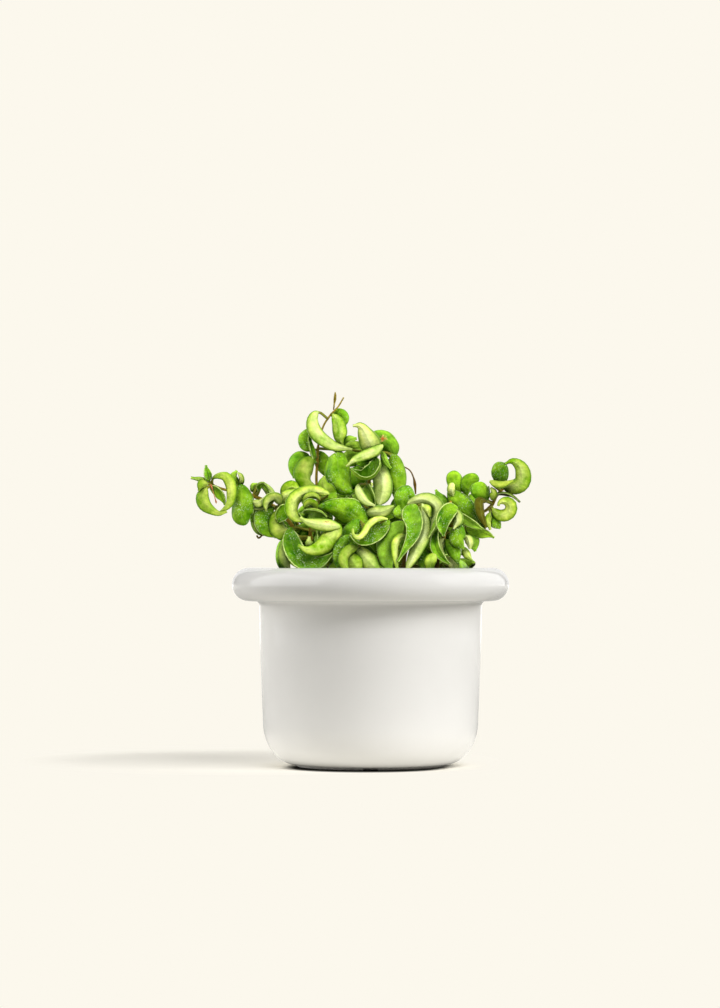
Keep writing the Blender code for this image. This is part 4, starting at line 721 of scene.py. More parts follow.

# A leaf that shows in front: depth at base and tip, half width (mm), turn at base and tip (0
# shows the upper side, 180 the underside), cup (the mean turn of each half in degrees), place
# of the widest part, shade (-1 dark to 1 pale, -2 brown; partly the leaf's own tone, partly
# painted light and shade for where it sits in the plant), fullness, and route across and up (mm)
Leaf = namedtuple("Leaf", "stem depth half turn cup belly shade fullness route")
LEAVES = [
    ("crown_stem", [
        ((-4, -14), 6.0, (150, 180), 22, 0.45, 0.4, 1.6, [(-39.5, 268.5), (-43, 265), (-43, 258.5),
          (-40, 252.5), (-34, 247), (-26.5, 242.5), (-13.5, 240)]),
        ((-5, -9), 5.6, (180, 180), 25, 0.55, 0, 2.0, [(-28.5, 266.5), (-25, 261), (-23.5, 253.5),
          (-23.5, 248), (-21, 243)]),
        ((2, 6), 4.8, (15, 25), -35, 0.45, -0.2, 2.4, [(-28.5, 265.5), (-25, 266.5), (-21.5, 264),
          (-20, 257.5)]),
        ((-2, 4), 5.2, (15, 20), -35, 0.5, -0.4, 2.6, [(-43.5, 240), (-47.5, 243), (-49.5, 248.5),
          (-48, 255.5)]),
        ((-4, -3), 3.0, (50, 60), 30, 0.45, -0.1, 2.0, [(-42, 230), (-45, 239), (-47, 248), (-44.5, 255)]),
        ((2, 0), 6.5, (10, 20), -32, 0.4, 0.1, 2.0, [(-46, 234), (-51.5, 234), (-56, 230.5), (-58, 225),
          (-58, 218)]),
        ((-6, -12), 7.4, (165, 150), 38, 0.5, -0.8, 2.4, [(-43.5, 234), (-47.5, 228), (-49, 221.5),
          (-47, 215), (-41, 211)]),
        ((-12, -22), 9.8, (0, 0), -38, 0.38, -0.5, 2.4, [(-25, 238.5), (-25, 230), (-24, 222),
          (-20.5, 213.5), (-14, 207.5)]),
        ((-13, -18), 6.2, (170, 170), 20, 0.45, -0.5, 2.0, [(-27, 199.5), (-32, 207), (-36, 214),
          (-35, 220)])]),
    ("second_stem", [
        ((-12, -24), 8.0, (180, 180), 18, 0.36, 0.8, 1.5, [(5, 235), (1, 242.5), (-3.5, 251), (-8, 258),
          (-13.5, 258)]),
        ((-14, -24), 4.2, (180, 175), 20, 0.4, 0.5, 1.7, [(9, 243), (2.5, 238.5), (-6, 235), (-12.5, 232),
          (-18.5, 227)]),
        ((-4, 0), 7.6, (15, 15), -28, 0.5, 0.2, 2.6, [(2, 252), (9, 247.5), (14.5, 241), (17.5, 233)]),
        ((-10, -15), 3.6, (30, 20), -20, 0.45, 0.6, 2.0, [(-18.5, 241), (-13, 243), (-8, 242.5),
          (-5, 238.5)]),
        ((-4, -4), 3.6, (10, 10), -30, 0.5, 0.6, 2.0, [(-20, 242), (-16.5, 246.5), (-10.5, 248.5)]),
        ((-12, -24), 5.2, (15, 10), 55, 0.5, -0.2, 2.0, [(3.5, 234), (4, 225.5), (-1.5, 219), (-8.5, 219),
          (-15.5, 225.5)]),
        ((-9, -16), 6.0, (0, 0), 30, 0.5, 0, 2.2, [(4, 235), (-2.5, 230), (-10.5, 229)]),
        ((-12, -24), 7.5, (180, 180), 18, 0.62, 0.9, 2.6, [(3.5, 233), (7, 224.5), (9, 216.5), (9, 208.5),
          (6.5, 198)]),
        ((-8, -16), 7.8, (0, 10), -38, 0.32, -0.8, 1.8, [(16, 236), (18.5, 225.5), (20, 215.5), (20.5, 206.5),
          (21, 196.5)]),
        ((-8, -14), 2.8, (10, 10), -20, 0.5, 0.5, 1.8, [(8, 238), (11, 231), (15.5, 225.5)]),
        ((-22, -28), 3.7, (180, 170), 28, 0.5, 0.8, 1.7, [(-9.5, 213), (-8, 206.5), (-4, 201), (3.5, 197)]),
        ((-16, -22), 3.7, (20, 20), 45, 0.45, 0.6, 1.8, [(-2.5, 212.5), (0, 206.5), (3.5, 198)]),
        ((-22, -34), 4.7, (180, 180), 20, 0.5, 0.6, 2.4, [(-4.5, 192), (3, 192.5), (10, 193), (18, 197)]),
        ((-24, -42), 10.8, (0, 0), -26, 0.4, -0.5, 1.25, [(-4, 182), (-11.5, 189.5), (-21, 194),
          (-30.5, 196.5), (-41, 197)])]),
    ("left_front_stem", [
        ((-40, -50), 5.5, (165, 180), 25, 0.55, 0.1, 2.6, [(-31.5, 206), (-40, 208), (-49.5, 207),
          (-57, 202.5), (-59.5, 195), (-57, 189), (-51.5, 186)]),
        ((-46, -52), 3.8, (150, 165), 30, 0.5, 0, 2.4, [(-42, 194.5), (-44.5, 198.5), (-48, 198.5),
          (-50, 195)]),
        ((-44, -48), 2.6, (170, 170), 30, 0.5, -0.4, 1.8, [(-39, 202.5), (-44, 205), (-49, 203),
          (-51, 198.5)]),
        ((-46, -54), 4.8, (10, 10), 50, 0.5, 0.6, 2.0, [(-48.5, 190), (-44.5, 192.5), (-39, 192),
          (-33, 188.5)]),
        ((-45, -48), 2.3, (10, 10), 30, 0.5, 0.4, 1.8, [(-48, 188.5), (-51, 189.5), (-53.5, 191.5)]),
        ((-52, -60), 4.9, (180, 180), 25, 0.42, 0.5, 1.8, [(-23.5, 181.5), (-32, 182.5), (-41.5, 183.5),
          (-49, 185.5), (-53.5, 188.5)]),
        ((-50, -62), 7.4, (180, 180), 38, 0.32, -0.1, 1.5, [(-25, 183.5), (-28.5, 175.5), (-33.5, 169.5),
          (-40.5, 165), (-48, 164), (-55, 167.5)]),
        ((-50, -56), 2.4, (60, 60), 40, 0.5, 0.4, 1.8, [(-40.5, 178), (-39.5, 170.5), (-41, 162.5)]),
        ((-48, -54), 3.2, (160, 160), 25, 0.5, 0.5, 1.6, [(-43, 164.5), (-46.5, 168.5), (-46.5, 174)]),
        ((-44, -58), 7.6, (0, 0), 38, 0.45, -0.7, 2.0, [(-60, 180.5), (-60, 170.5), (-56, 160),
          (-48.5, 153.5), (-38.5, 153), (-28, 161.5)]),
        ((-40, -36), 4.0, (20, 20), -30, 0.45, 0.3, 2.2, [(-66, 171), (-68.5, 163.5), (-69, 156),
          (-65.5, 145.5)]),
        ((-42, -42), 4.8, (160, 160), 28, 0.45, 0.6, 2.0, [(-62.5, 172.5), (-64.5, 165.5), (-64.5, 156.5),
          (-61.5, 145.5)])]),
    ("left_trailing_stem", [
        ((-30, -40), 6.4, (170, 180), 35, 0.55, -0.4, 2.0, [(-69, 194.5), (-71, 186.5), (-68, 179),
          (-61, 177.5), (-52, 181)]),
        ((-24, -30), 5.5, (10, 10), 40, 0.5, -0.4, 2.0, [(-62, 194), (-67.5, 190.5), (-70, 184.5)]),
        ((-22, -30), 7.2, (0, 0), -32, 0.45, -0.5, 2.0, [(-74, 195.5), (-79, 193), (-80.5, 186.5),
          (-77, 179), (-71.5, 173)]),
        ((-18, -22), 4.6, (150, 150), 28, 0.45, 0.6, 1.8, [(-86.5, 189.5), (-86, 183.5), (-82.5, 178.5),
          (-77, 174.5)]),
        ((-24, -34), 8.6, (0, 0), -32, 0.5, -0.9, 2.6, [(-99.5, 213), (-97.5, 205.5), (-97.5, 196.5),
          (-98, 190), (-95, 182.5)]),
        ((-30, -38), 4.1, (145, 180), 25, 0.45, -0.4, 2.2, [(-120, 217.5), (-115.5, 220.5), (-110, 220),
          (-106.5, 214), (-106, 205.5), (-108, 198), (-114, 192.5)]),
        ((-34, -40), 5.2, (180, 170), 22, 0.32, -0.7, 1.6, [(-124.5, 210.5), (-127.5, 205), (-126, 199),
          (-121, 194.5), (-114.5, 191.5), (-109, 193)]),
        ((-28, -30), 4.0, (20, 20), 28, 0.45, -0.2, 1.8, [(-121.5, 211), (-116.5, 209), (-112.5, 204),
          (-110.5, 198)]),
        ((-29, -31), 3.2, (20, 20), 20, 0.4, -0.5, 1.8, [(-122.5, 216), (-124, 221.5), (-125, 228)]),
        ((-29, -33), 2.6, (160, 160), 28, 0.3, 0.2, 1.4, [(-124, 214.5), (-129.5, 217), (-136.5, 218.5)]),
        ((-29, -34), 3.8, (180, 180), 28, 0.42, -0.6, 1.8, [(-124, 214), (-128, 213), (-130.5, 208.5)]),
        ((-20, -26), 3.4, (170, 180), 28, 0.45, 0.8, 1.8, [(-85, 214), (-79, 211), (-75.5, 204.5),
          (-79, 198.5), (-83.5, 195.5), (-89.5, 195)]),
        ((-18, -22), 2.9, (10, 10), 30, 0.5, 0.4, 1.8, [(-84.5, 209), (-84.5, 213), (-81.5, 214.5),
          (-76, 206.5)]),
        ((-16, -16), 3.0, (10, 10), -20, 0.5, 0.7, 2.0, [(-86.5, 208), (-89, 211), (-86, 214)]),
        ((-24, -28), 3.1, (180, 180), 32, 0.5, 0.6, 1.8, [(-90, 200.5), (-85, 199.5), (-80, 203.5)]),
        ((-21, -23), 3.0, (0, 0), -20, 0.5, 0.5, 2.0, [(-101, 213.5), (-104, 219), (-101.5, 224)]),
        ((-21, -25), 2.9, (150, 150), 20, 0.5, 0.6, 2.2, [(-99, 213), (-98.5, 218.5), (-100.5, 222.5)]),
        ((-16, -20), 4.4, (170, 180), 28, 0.45, 0, 1.8, [(-55.5, 208), (-60, 212), (-64.5, 209),
          (-68, 203)]),
        ((-22, -26), 5.0, (150, 150), 28, 0.45, 0.5, 2.0, [(-69, 198.5), (-72.5, 203), (-78, 200),
          (-79.5, 193)]),
        ((-24, -30), 3.6, (180, 180), 30, 0.5, 0, 1.8, [(-69, 198), (-64.5, 205), (-57, 209.5)])]),
    ("centre_front_stem", [
        ((-50, -62), 6.9, (0, 0), 36, 0.5, -0.7, 1.7, [(14, 185.5), (7, 180.5), (-0.5, 174.5), (-8, 171.5),
          (-16, 175.5)]),
        ((-60, -72), 2.7, (180, 180), 18, 0.5, 0.2, 2.0, [(12.5, 187), (4.5, 187), (-1.5, 182.5),
          (-5, 176.5), (-9.5, 173), (-13, 175.5), (-13.5, 180)]),
        ((-52, -58), 4.8, (0, 0), -28, 0.5, -0.8, 2.0, [(-16.5, 174.5), (-22, 167.5), (-24, 158.5),
          (-21, 145.5)]),
        ((-58, -64), 4.4, (170, 170), 32, 0.5, -0.5, 2.0, [(-10, 166), (-16.5, 163), (-20, 156),
          (-16.5, 145.5)]),
        ((-56, -60), 6.6, (180, 180), 24, 0.5, -0.2, 2.0, [(-18, 161), (-13, 154.5), (-7, 145.5)]),
        ((-54, -60), 6.8, (180, 180), 26, 0.5, 0.3, 1.8, [(-9.5, 166), (-4, 158), (2, 152), (8.5, 146.5)]),
        ((-44, -48), 6.0, (0, 0), 25, 0.5, -0.4, 2.0, [(-17.5, 175), (-12, 166.5), (-3.5, 163),
          (4.5, 160.5)])]),
    ("right_front_stem", [
        ((-48, -60), 7.4, (0, 0), -32, 0.38, 0.5, 2.4, [(25.5, 184), (18.5, 178.5), (13.5, 171), (12.5, 160),
          (15, 146.5)]),
        ((-56, -66), 3.4, (175, 180), 26, 0.42, 0.1, 2.0, [(29, 173.5), (23, 173.5), (19.5, 169),
          (19, 161.5), (20.5, 147)]),
        ((-50, -68), 7.3, (0, 10), 30, 0.27, -0.5, 1.2, [(33.5, 198), (31, 191), (33.5, 182), (32, 173),
          (26, 163), (20.5, 154.5)]),
        ((-46, -62), 5.3, (180, 180), 25, 0.6, 0.8, 2.0, [(39, 198.5), (41, 187.5), (40.5, 176.5), (35, 165),
          (26.5, 146.5)]),
        ((-44, -52), 3.9, (165, 165), 36, 0.5, 0, 2.0, [(37, 196.5), (42, 194.5), (45, 188.5)]),
        ((-38, -54), 6.0, (180, 180), 22, 0.55, 0.9, 1.5, [(28.5, 198.5), (35.5, 201.5), (43.5, 201.5),
          (49.5, 197), (50, 190.5), (47, 183), (43.5, 172.5)]),
        ((-32, -30), 6.8, (10, 10), -32, 0.5, -0.3, 2.0, [(25, 194.5), (25, 202.5), (28.5, 207),
          (34, 203.5)]),
        ((-44, -50), 5.4, (10, 10), -25, 0.5, -0.8, 2.0, [(39, 165.5), (40.5, 158.5), (40.5, 146.5)])]),
    ("right_side_stem", [
        ((-50, -58), 2.8, (60, 60), 20, 0.45, 0.5, 1.6, [(55, 194), (50, 184), (44, 173)]),
        ((-44, -54), 6.0, (10, 10), 38, 0.5, -0.4, 2.0, [(65.5, 196), (58.5, 192.5), (54, 184.5),
          (55.5, 174)]),
        ((-48, -56), 4.9, (180, 180), 22, 0.45, 0.9, 2.0, [(58.5, 193), (63, 191), (66, 187), (63, 179.5)]),
        ((-48, -54), 3.6, (20, 20), 32, 0.5, -0.4, 1.8, [(51, 177.5), (49, 171.5), (50, 164), (54.5, 158),
          (60, 153)]),
        ((-48, -52), 4.9, (0, 0), -28, 0.5, -0.5, 1.8, [(57.5, 171), (61.5, 165.5), (64.5, 160),
          (66.5, 153)]),
        ((-50, -54), 4.0, (155, 155), 30, 0.5, 0.6, 1.8, [(55.5, 172), (53, 166), (57, 157.5)]),
        ((-54, -58), 4.8, (180, 180), 28, 0.5, -0.2, 2.0, [(49.5, 160.5), (46, 155.5), (45, 146.5)]),
        ((-52, -56), 4.4, (180, 180), 24, 0.5, 0.8, 2.0, [(59, 157.5), (62.5, 153.5), (66, 146.5)]),
        ((-52, -56), 6.0, (0, 0), -28, 0.5, -0.8, 1.8, [(66.5, 183.5), (66.5, 177.5), (66, 171.5),
          (71, 164.5)]),
        ((-46, -50), 3.5, (180, 180), 20, 0.5, 0.9, 2.2, [(72.5, 174), (75, 170), (75.5, 164.5)]),
        ((-44, -48), 3.2, (160, 160), 20, 0.5, -0.2, 1.8, [(70, 165.5), (73.5, 160), (77, 155.5)])]),
    ("right_trailing_stem", [
        ((-34, -40), 7.8, (0, 0), -24, 0.4, -0.5, 1.5, [(59, 207.5), (66.5, 201), (74, 193.5), (81, 186),
          (87, 179)]),
        ((-38, -44), 4.0, (30, 30), 28, 0.45, 0.6, 1.6, [(67.5, 190.5), (76, 185), (85.5, 179.5)]),
        ((-30, -34), 4.3, (10, 10), -20, 0.4, 0.3, 1.6, [(59, 198), (53, 203.5), (49.5, 209.5)]),
        ((-24, -26), 6.2, (10, 10), -26, 0.6, -0.2, 3.2, [(67, 205.5), (66, 211.5), (64, 217.5),
          (63, 224)]),
        ((-24, -26), 5.0, (0, 0), -26, 0.6, -0.4, 3.2, [(73.5, 205.5), (72.5, 211.5), (75, 216),
          (82.5, 218)]),
        ((-34, -36), 3.2, (180, 180), 20, 0.5, 0.7, 3.2, [(62.5, 205.5), (61.5, 210), (62.5, 214.5)]),
        ((-35, -40), 6.6, (180, 180), 20, 0.42, -0.1, 1.6, [(100.5, 211), (108, 211), (114, 214.5),
          (115.5, 221), (113, 227.5), (107.5, 231), (102, 229)]),
        ((-36, -40), 6.6, (0, 0), -26, 0.55, -0.9, 3.2, [(98.5, 212.5), (98.5, 218.5), (98, 225),
          (96.5, 230.5)]),
        ((-38, -42), 3.2, (150, 150), 28, 0.5, -0.6, 1.8, [(91, 215.5), (98.5, 214), (108.5, 216.5)]),
        ((-33, -36), 7.6, (15, 15), -28, 0.55, 0, 3.2, [(89, 201.5), (86.5, 206), (84, 210.5),
          (84, 215.5)]),
        ((-36, -38), 3.0, (160, 160), 20, 0.5, -0.1, 1.8, [(92, 202.5), (93.5, 207), (91.5, 211)]),
        ((-38, -44), 3.9, (20, 20), -28, 0.45, -2, 1.8, [(88, 200.5), (83.5, 201.5), (84, 191.5),
          (88, 180.5)]),
        ((-36, -38), 3.0, (70, 70), 20, 0.45, -2, 1.6, [(94.5, 205.5), (101, 207), (107.5, 205),
          (113.5, 200)]),
        ((-38, -43), 5.3, (180, 180), 20, 0.48, -0.1, 2.0, [(93, 195), (97.5, 190.5), (104, 191.5),
          (106, 197), (102.5, 200.5), (98, 199.5), (97, 197)])]),
    ("right_front_stem", [
        ((-38, -36), 3.6, (10, 10), -20, 0.5, -0.5, 1.8, [(22.5, 188), (21, 191.5), (21.5, 197.5)])]),
    ("right_trailing_stem", [
        ((-34, -36), 5.0, (0, 0), -20, 0.5, -0.6, 2.2, [(93, 192), (94.5, 186), (98.5, 180)]),
        ((-30, -36), 4.6, (30, 30), 25, 0.45, 0.3, 1.8, [(73, 180.5), (81.5, 178), (89, 176), (94, 173)]),
        ((-36, -40), 2.8, (160, 160), 20, 0.5, -0.4, 1.8, [(91, 192), (89.5, 185.5), (91, 179)]),
        ((-30, -34), 5.2, (0, 0), -20, 0.5, 0.4, 2.0, [(72.5, 177), (77, 171.5), (79.5, 162.5)])]),
    ("second_stem", [
        ((0, 4), 6.8, (5, 5), -30, 0.5, 0.3, 2.0, [(-2, 236), (-10, 235.5), (-18, 232), (-24, 226)])]),
    ("crown_stem", [
        ((3, 7), 6.4, (5, 5), -30, 0.5, -0.5, 2.0, [(-40, 239), (-36.5, 230), (-31, 218)])]),
    ("second_stem", [
        ((-2, 2), 7.6, (5, 5), -30, 0.5, -0.2, 2.0, [(-1, 226), (-8, 222), (-15, 215), (-20, 207)])]),
    ("middle_right_stem", [
        ((-2, -6), 7.5, (5, 5), -30, 0.5, -0.8, 2.0, [(31, 200), (24, 198), (14, 192)])]),
    ("right_front_stem", [
        ((-44, -48), 6.4, (5, 5), -30, 0.5, -0.4, 2.0, [(28, 176), (23, 168), (20, 156)])]),
    ("centre_front_stem", [
        ((-43, -44), 6.8, (5, 5), -30, 0.5, -0.6, 2.0, [(-8, 186), (-14, 178), (-18, 166)])]),
    ("left_front_stem", [
        ((-34, -36), 7.2, (5, 5), -30, 0.5, 0.2, 2.0, [(-44, 184), (-51, 177), (-57, 168)]),
        ((-32, -28), 7.0, (5, 5), -30, 0.5, -0.8, 2.0, [(-41, 194), (-33, 199), (-26, 207)]),
        ((-34, -36), 7.2, (5, 5), -30, 0.5, -0.8, 2.0, [(-44, 172), (-37, 165), (-30, 154)])]),
    ("right_side_stem", [
        ((-38, -36), 6.6, (5, 5), -30, 0.5, 0.4, 2.0, [(56, 180), (62, 173), (66, 163)]),
        ((-38, -36), 6.8, (5, 5), -30, 0.5, 0.2, 2.0, [(54, 172), (46, 168), (38, 158)])]),
    ("right_trailing_stem", [
        ((-18, -16), 5.6, (5, 5), -25, 0.5, 0.1, 2.0, [(73, 191), (77, 198), (76, 206)])]),
    ("left_trailing_stem", [
        ((-20, -22), 4.4, (5, 5), -25, 0.5, 0.3, 2.0, [(-84, 201), (-88, 194), (-90.5, 185)])]),
]

# Foliage that the front view hides: stem, first and last level (mm), levels, first and last
# compass angle in degrees (0 is +X, 90 is away from the front)
HIDDEN_FOLIAGE = [
    ("back_centre_stem", 150, 204, 5, -10, 350),
    ("back_left_stem", 150, 196, 5, -10, 350),
    ("back_right_stem", 150, 192, 5, -10, 350),
    ("middle_stem", 160, 214, 4, -10, 350),
    ("middle_left_stem", 148, 180, 4, -10, 350),
    ("middle_right_stem", 150, 198, 4, -10, 350),
    ("second_stem", 160, 240, 5, 0, 180),
    ("crown_stem", 158, 232, 5, 20, 200),
    ("left_trailing_stem", 150, 200, 4, 40, 220),
    ("right_trailing_stem", 150, 190, 4, -40, 150),
    ("left_front_stem", 150, 190, 4, 40, 150),
    ("right_side_stem", 150, 190, 4, 10, 140),
    ("centre_front_stem", 150, 168, 3, 35, 145),
    ("right_front_stem", 150, 190, 4, 35, 145),
]

# One leaf of that foliage, mostly as ranges: millimetres, and degrees for angles
LEAF_TURN = (0, 20)
LEAF_BELLY = 0.45
LEAF_FULLNESS = 2.0
# The shades of these leaves differ at random and lean dark, a painted shade for leaves deep in the plant
LEAF_SHADES = (-0.9, 0.3)
LEAF_LENGTHS = (26, 38)
LEAF_HALF_WIDTHS = (7.5, 10.5)
STALK_LENGTHS = (4, 12)
LEAF_CURLS = (90, 200)
LEAF_CUPS = (20, 50)
LEAF_RISES = (0.1, 0.8)
LARGEST_LEAN = 70
LARGEST_SWING = 40
SHARE_ROLLED_DOWN = 0.62
ATTEMPTS = 40

# The hidden foliage keeps inside this outline, across and up in millimetres
FRONT_OUTLINE = [(-72, 150), (-72, 172), (-85, 180), (-92, 190), (-82, 198), (-69, 204), (-62, 211),
                 (-42, 211), (-35, 208), (-35, 231), (-19, 235), (-12, 230), (6, 238), (22, 232),
                 (24, 215), (30, 205), (42, 203), (53, 198), (60, 206), (75, 197), (85, 183),
                 (83, 171), (77, 158), (84, 150)]


def blade_share(share, belly, fullness):
    """Half width at a share of the blade's length, 1 at the belly and 0 at the pointed tip."""
    if share < belly:
        return (1.0 - (1.0 - share / belly) ** BASE_FALL) ** BASE_ROUNDING
    return (1.0 - ((share - belly) / (1.0 - belly)) ** fullness) ** (1.0 / max(1.0, fullness - 1.0))


Blade = namedtuple("Blade", "root points half turn cup belly fullness facing phase steps shade")
Section = namedtuple("Section", "centre side normal widths fold curl thick ripple blend share")


def leaf_sections(blade, stalk_shares, blade_shares, grow=0.0):
    """What a leaf is like at each place along it: first on its stalk, then on its blade."""
    samples, marks = smooth_route([blade.root] + blade.points)
    run = distances(samples)
    base = run[marks[1]]
    length = run[-1] - base
    places = [(share * base, 0.0) for share in stalk_shares]
    places += [(base + share * length, share) for share in blade_shares]
    reach = HEADING_REACH * run[-1]
    window = BEND_WINDOW * run[-1]

    def heading(at):
        at = min(max(at, 0.0), run[-1])
        return (point_at(samples, run, at + reach) - point_at(samples, run, at - reach)).normalized()

    tangents = [heading(at) for at, share in places]
    anchor = min(range(len(places)), key=lambda index: abs(places[index][1] - ANCHOR_SHARE))
    normals = carried_normals(tangents, anchor, blade.facing)
    sections = []
    for (at, share), tangent, carried in zip(places, tangents, normals):
        blend = min(1.0, share / BLADE_START)
        eased = share * share * (3.0 - 2.0 * share)
        angle = math.radians(blade.turn[0] + (blade.turn[1] - blade.turn[0]) * eased)
        normal = Matrix.Rotation(angle, 3, tangent) @ carried
        side = tangent.cross(normal)
        bend = (heading(at + window) - heading(at - window)) / (2 * window)
        edge_turn = math.radians(2.0 * blade.cup / (1.0 + CREASE)) * blend
        fold = CREASE * edge_turn
        curl = edge_turn - fold
        shown = math.sin(min(abs(edge_turn), math.pi / 2)) - math.sin(abs(fold))
        laid_flat = abs(curl) / shown if abs(curl) > 0.02 else 1.0
        wide = max(blade.half * blade_share(share, blade.belly, blade.fullness), STALK_RADIUS) + grow
        widths = {}
        for hand in (-1, 1):
            # The side that a bend closes in on is narrower, so that it doesn't fold through itself
            inward = max(bend.dot(side) * hand, 0.0) / BEND_ROOM
            widths[hand] = wide / (1.0 + (wide * inward) ** 4) ** 0.25 * laid_flat
        body = 0.5 * LEAF_THICKNESS * (1.0 - TIP_THINNING * share)
        thick = STALK_HALF_DEPTH * (1 - blend) + body * blend + grow
        ripple = {hand: MARGIN_WAVE * blend * math.sin(2 * math.pi * WAVES * share + blade.phase
                                                       + WAVE_OFFSET * hand) for hand in (-1, 1)}
        centre = point_at(samples, run, at)
        sections.append(Section(centre, side, normal, widths, fold, curl, thick, ripple, blend, share))
    return sections, samples[-1]


def across_blade(section, column):
    """The middle of the blade's thickness at a column from -1 to 1, and the way out of its face."""
    hand = 1 if column > 0 else -1
    spot = abs(column)
    width = section.widths[hand]
    angle = section.fold + section.curl * spot
    if abs(section.curl) > 0.02:
        across = width * (math.sin(angle) - math.sin(section.fold)) / section.curl
        lift = width * (math.cos(section.fold) - math.cos(angle)) / section.curl
    else:
        across = width * spot
        lift = 0.0
    lift += section.ripple[hand] * width * spot * spot
    middle = section.centre + section.side * (across * hand) + section.normal * lift
    if spot < 1e-6:
        return middle, section.normal
    return middle, section.normal * math.cos(angle) - section.side * (math.sin(angle) * hand)


def leaf_solid(blade, grow=0.0):
    """Closed solid of one leaf with few faces: a stalk from the root, then a curled blade."""
    stalk = (0.0, 0.6) if blade.steps > 4 else (0.0,)
    turns = [0.08 + 0.92 * step / blade.steps for step in range(blade.steps)]
    shares = [0.5 - 0.5 * math.cos(math.pi * turn) for turn in turns]
    sections, tip = leaf_sections(blade, stalk, shares, grow)
    vertices = []
    for section in sections:
        middle, face = across_blade(section, 0.0)
        vertices += [across_blade(section, -1.0)[0], middle + face * section.thick,
                     across_blade(section, 1.0)[0], middle - face * section.thick]
    triangles = [(0, 2, 1), (0, 3, 2)]
    for ring in range(len(sections) - 1):
        here = ring * 4
        there = here + 4
        for low, high in ((0, 1), (1, 2)):
            triangles += [(here + low, here + high, there + high), (here + low, there + high, there + low)]
        for low, high in ((0, 3), (3, 2)):
            triangles += [(here + high, here + low, there + high), (there + high, here + low, there + low)]
    last = len(vertices) - 4
    vertices.append(tip)
    triangles += [(last + corner, last + (corner + 1) % 4, last + 4) for corner in range(4)]
    return vertices, outward(vertices, triangles)


def seen(across, depth, up):
    """A front-view position in millimetres, put at its depth in metres."""
    scale = 1.0 + depth * MM / EYE_DISTANCE
    level = EYE_LEVEL + (up * MM - EYE_LEVEL) * scale
    return Vector((across * MM * scale, depth * MM, level))


def joints_of(samples):
    """The samples of a stem that may carry a leaf: above the potting mix and short of its end."""
    return [sample for sample in samples[:-END_SAMPLES] if sample.z > LOWEST_JOINT]


def is_inside(outline, x, y):
    """Whether a flat point is inside an outline."""
    inside = False
    for (x1, y1), (x2, y2) in zip(outline, outline[1:] + outline[:1]):
        if (y1 > y) != (y2 > y) and x < x1 + (y - y1) * (x2 - x1) / (y2 - y1):
            inside = not inside
    return inside


def curled_points(root, outward_way, up_way, stalk, length, curl, lean):
    """Five points of a blade that leaves the stem and curls over."""
    axis = outward_way.cross(up_way).normalized()
    axis = Matrix.Rotation(lean, 3, outward_way) @ axis
    point = root + outward_way * stalk
    points = [point]
    for span in range(4):
        turned_way = Matrix.Rotation(curl * (span + 0.5) / 4, 3, axis) @ outward_way
        point = point + turned_way * (length / 4)
        points.append(point)
    return points


def blade_only(solid):
    """The part of a leaf beyond its stalk."""
    vertices, triangles = solid
    stalk_corners = 8
    return vertices, [corners for corners in triangles if min(corners) >= stalk_corners]


class Foliage:
    """Keeps each stem's solids, and tells whether a new one would touch another stem's."""

    def __init__(self, fixed):
        self.fixed = fixed
        self.trees = {name: [] for name in STEMS}
        self.bare = {name: [] for name in STEMS}
        self.blades = {name: [] for name in STEMS}

    def is_clear(self, stem, grown, bare_blade=None):
        """Whether a grown solid is clear of the pot, the mix and the other stems."""
        tree = BVHTree.FromPolygons(*grown)
        if any(tree.overlap(other) for other in self.fixed):
            return False
        for name, others in self.trees.items():
            if name != stem and any(tree.overlap(other) for other in others):
                return False
        if bare_blade is not None:
            own = BVHTree.FromPolygons(*bare_blade)
            return not any(own.overlap(other) for other in self.bare[stem])
        return True

    def add(self, stem, solid, blade=None):
        """Takes a solid in, and its blade too if it is a leaf."""
        self.trees[stem].append(BVHTree.FromPolygons(*solid))
        if blade:
            self.bare[stem].append(BVHTree.FromPolygons(*blade_only(solid)))
            self.blades[stem].append(blade)


def place_stems(foliage):
    """Tubes for the stems and twigs; returns the stems' routes."""
    routes = {}
    for name, (place, above, foot, tip) in STEMS.items():
        points = stem_points(place, above)
        radii = [(foot + (tip - foot) * index / (len(points) - 1)) * MM for index in range(len(points))]
        foliage.add(name, tube(points, radii, COARSE_SIDES))
        routes[name] = smooth_route(points, STEM_STEPS)[0]
    for name, points, radii in TWIGS:
        route = [Vector(point) * MM for point in points]
        foliage.add(name, tube(route, [radius * MM for radius in radii], COARSE_SIDES))
    return routes


def place_shown_leaves(foliage, routes):
    """Leaves of the front, each moved a little in depth until it is clear of other stems."""
    near = [0.0]
    for step in range(1, 6):
        near += [-SHIFT * step, SHIFT * step]
    far = [-SHIFT * step for step in range(6, 14)] + [SHIFT * step for step in range(6, 14)]
    trials = [(shift, True) for shift in near] + [(shift, False) for shift in near + far]
    for number, leaf in enumerate(Leaf(stem, *row) for stem, rows in LEAVES for row in rows):
        spans = len(leaf.route) - 1
        is_large = leaf.half > LARGE_HALF_WIDTH or len(leaf.route) > MOST_SHORT_POINTS
        steps = 5 if is_large else 3 if leaf.half < SMALL_HALF_WIDTH else 4
        for shift, keeps_apart in trials:
            points = []
            for index, (across, up) in enumerate(leaf.route):
                depth = leaf.depth[0] + (leaf.depth[1] - leaf.depth[0]) * index / spans
                points.append(seen(across, depth + shift - BOW * math.sin(math.pi * index / spans), up))
            root = min(joints_of(routes[leaf.stem]), key=lambda sample: (sample - points[0]).length)
            blade = Blade(root, points, leaf.half * MM, leaf.turn, leaf.cup, leaf.belly, leaf.fullness,
                          Vector((0.0, -1.0, 0.0)), WAVE_STEP * number, steps, leaf.shade)
            grown = leaf_solid(blade, CLEARANCE)
            if foliage.is_clear(leaf.stem, grown, blade_only(grown) if keeps_apart else None):
                foliage.add(leaf.stem, leaf_solid(blade), blade)
                break


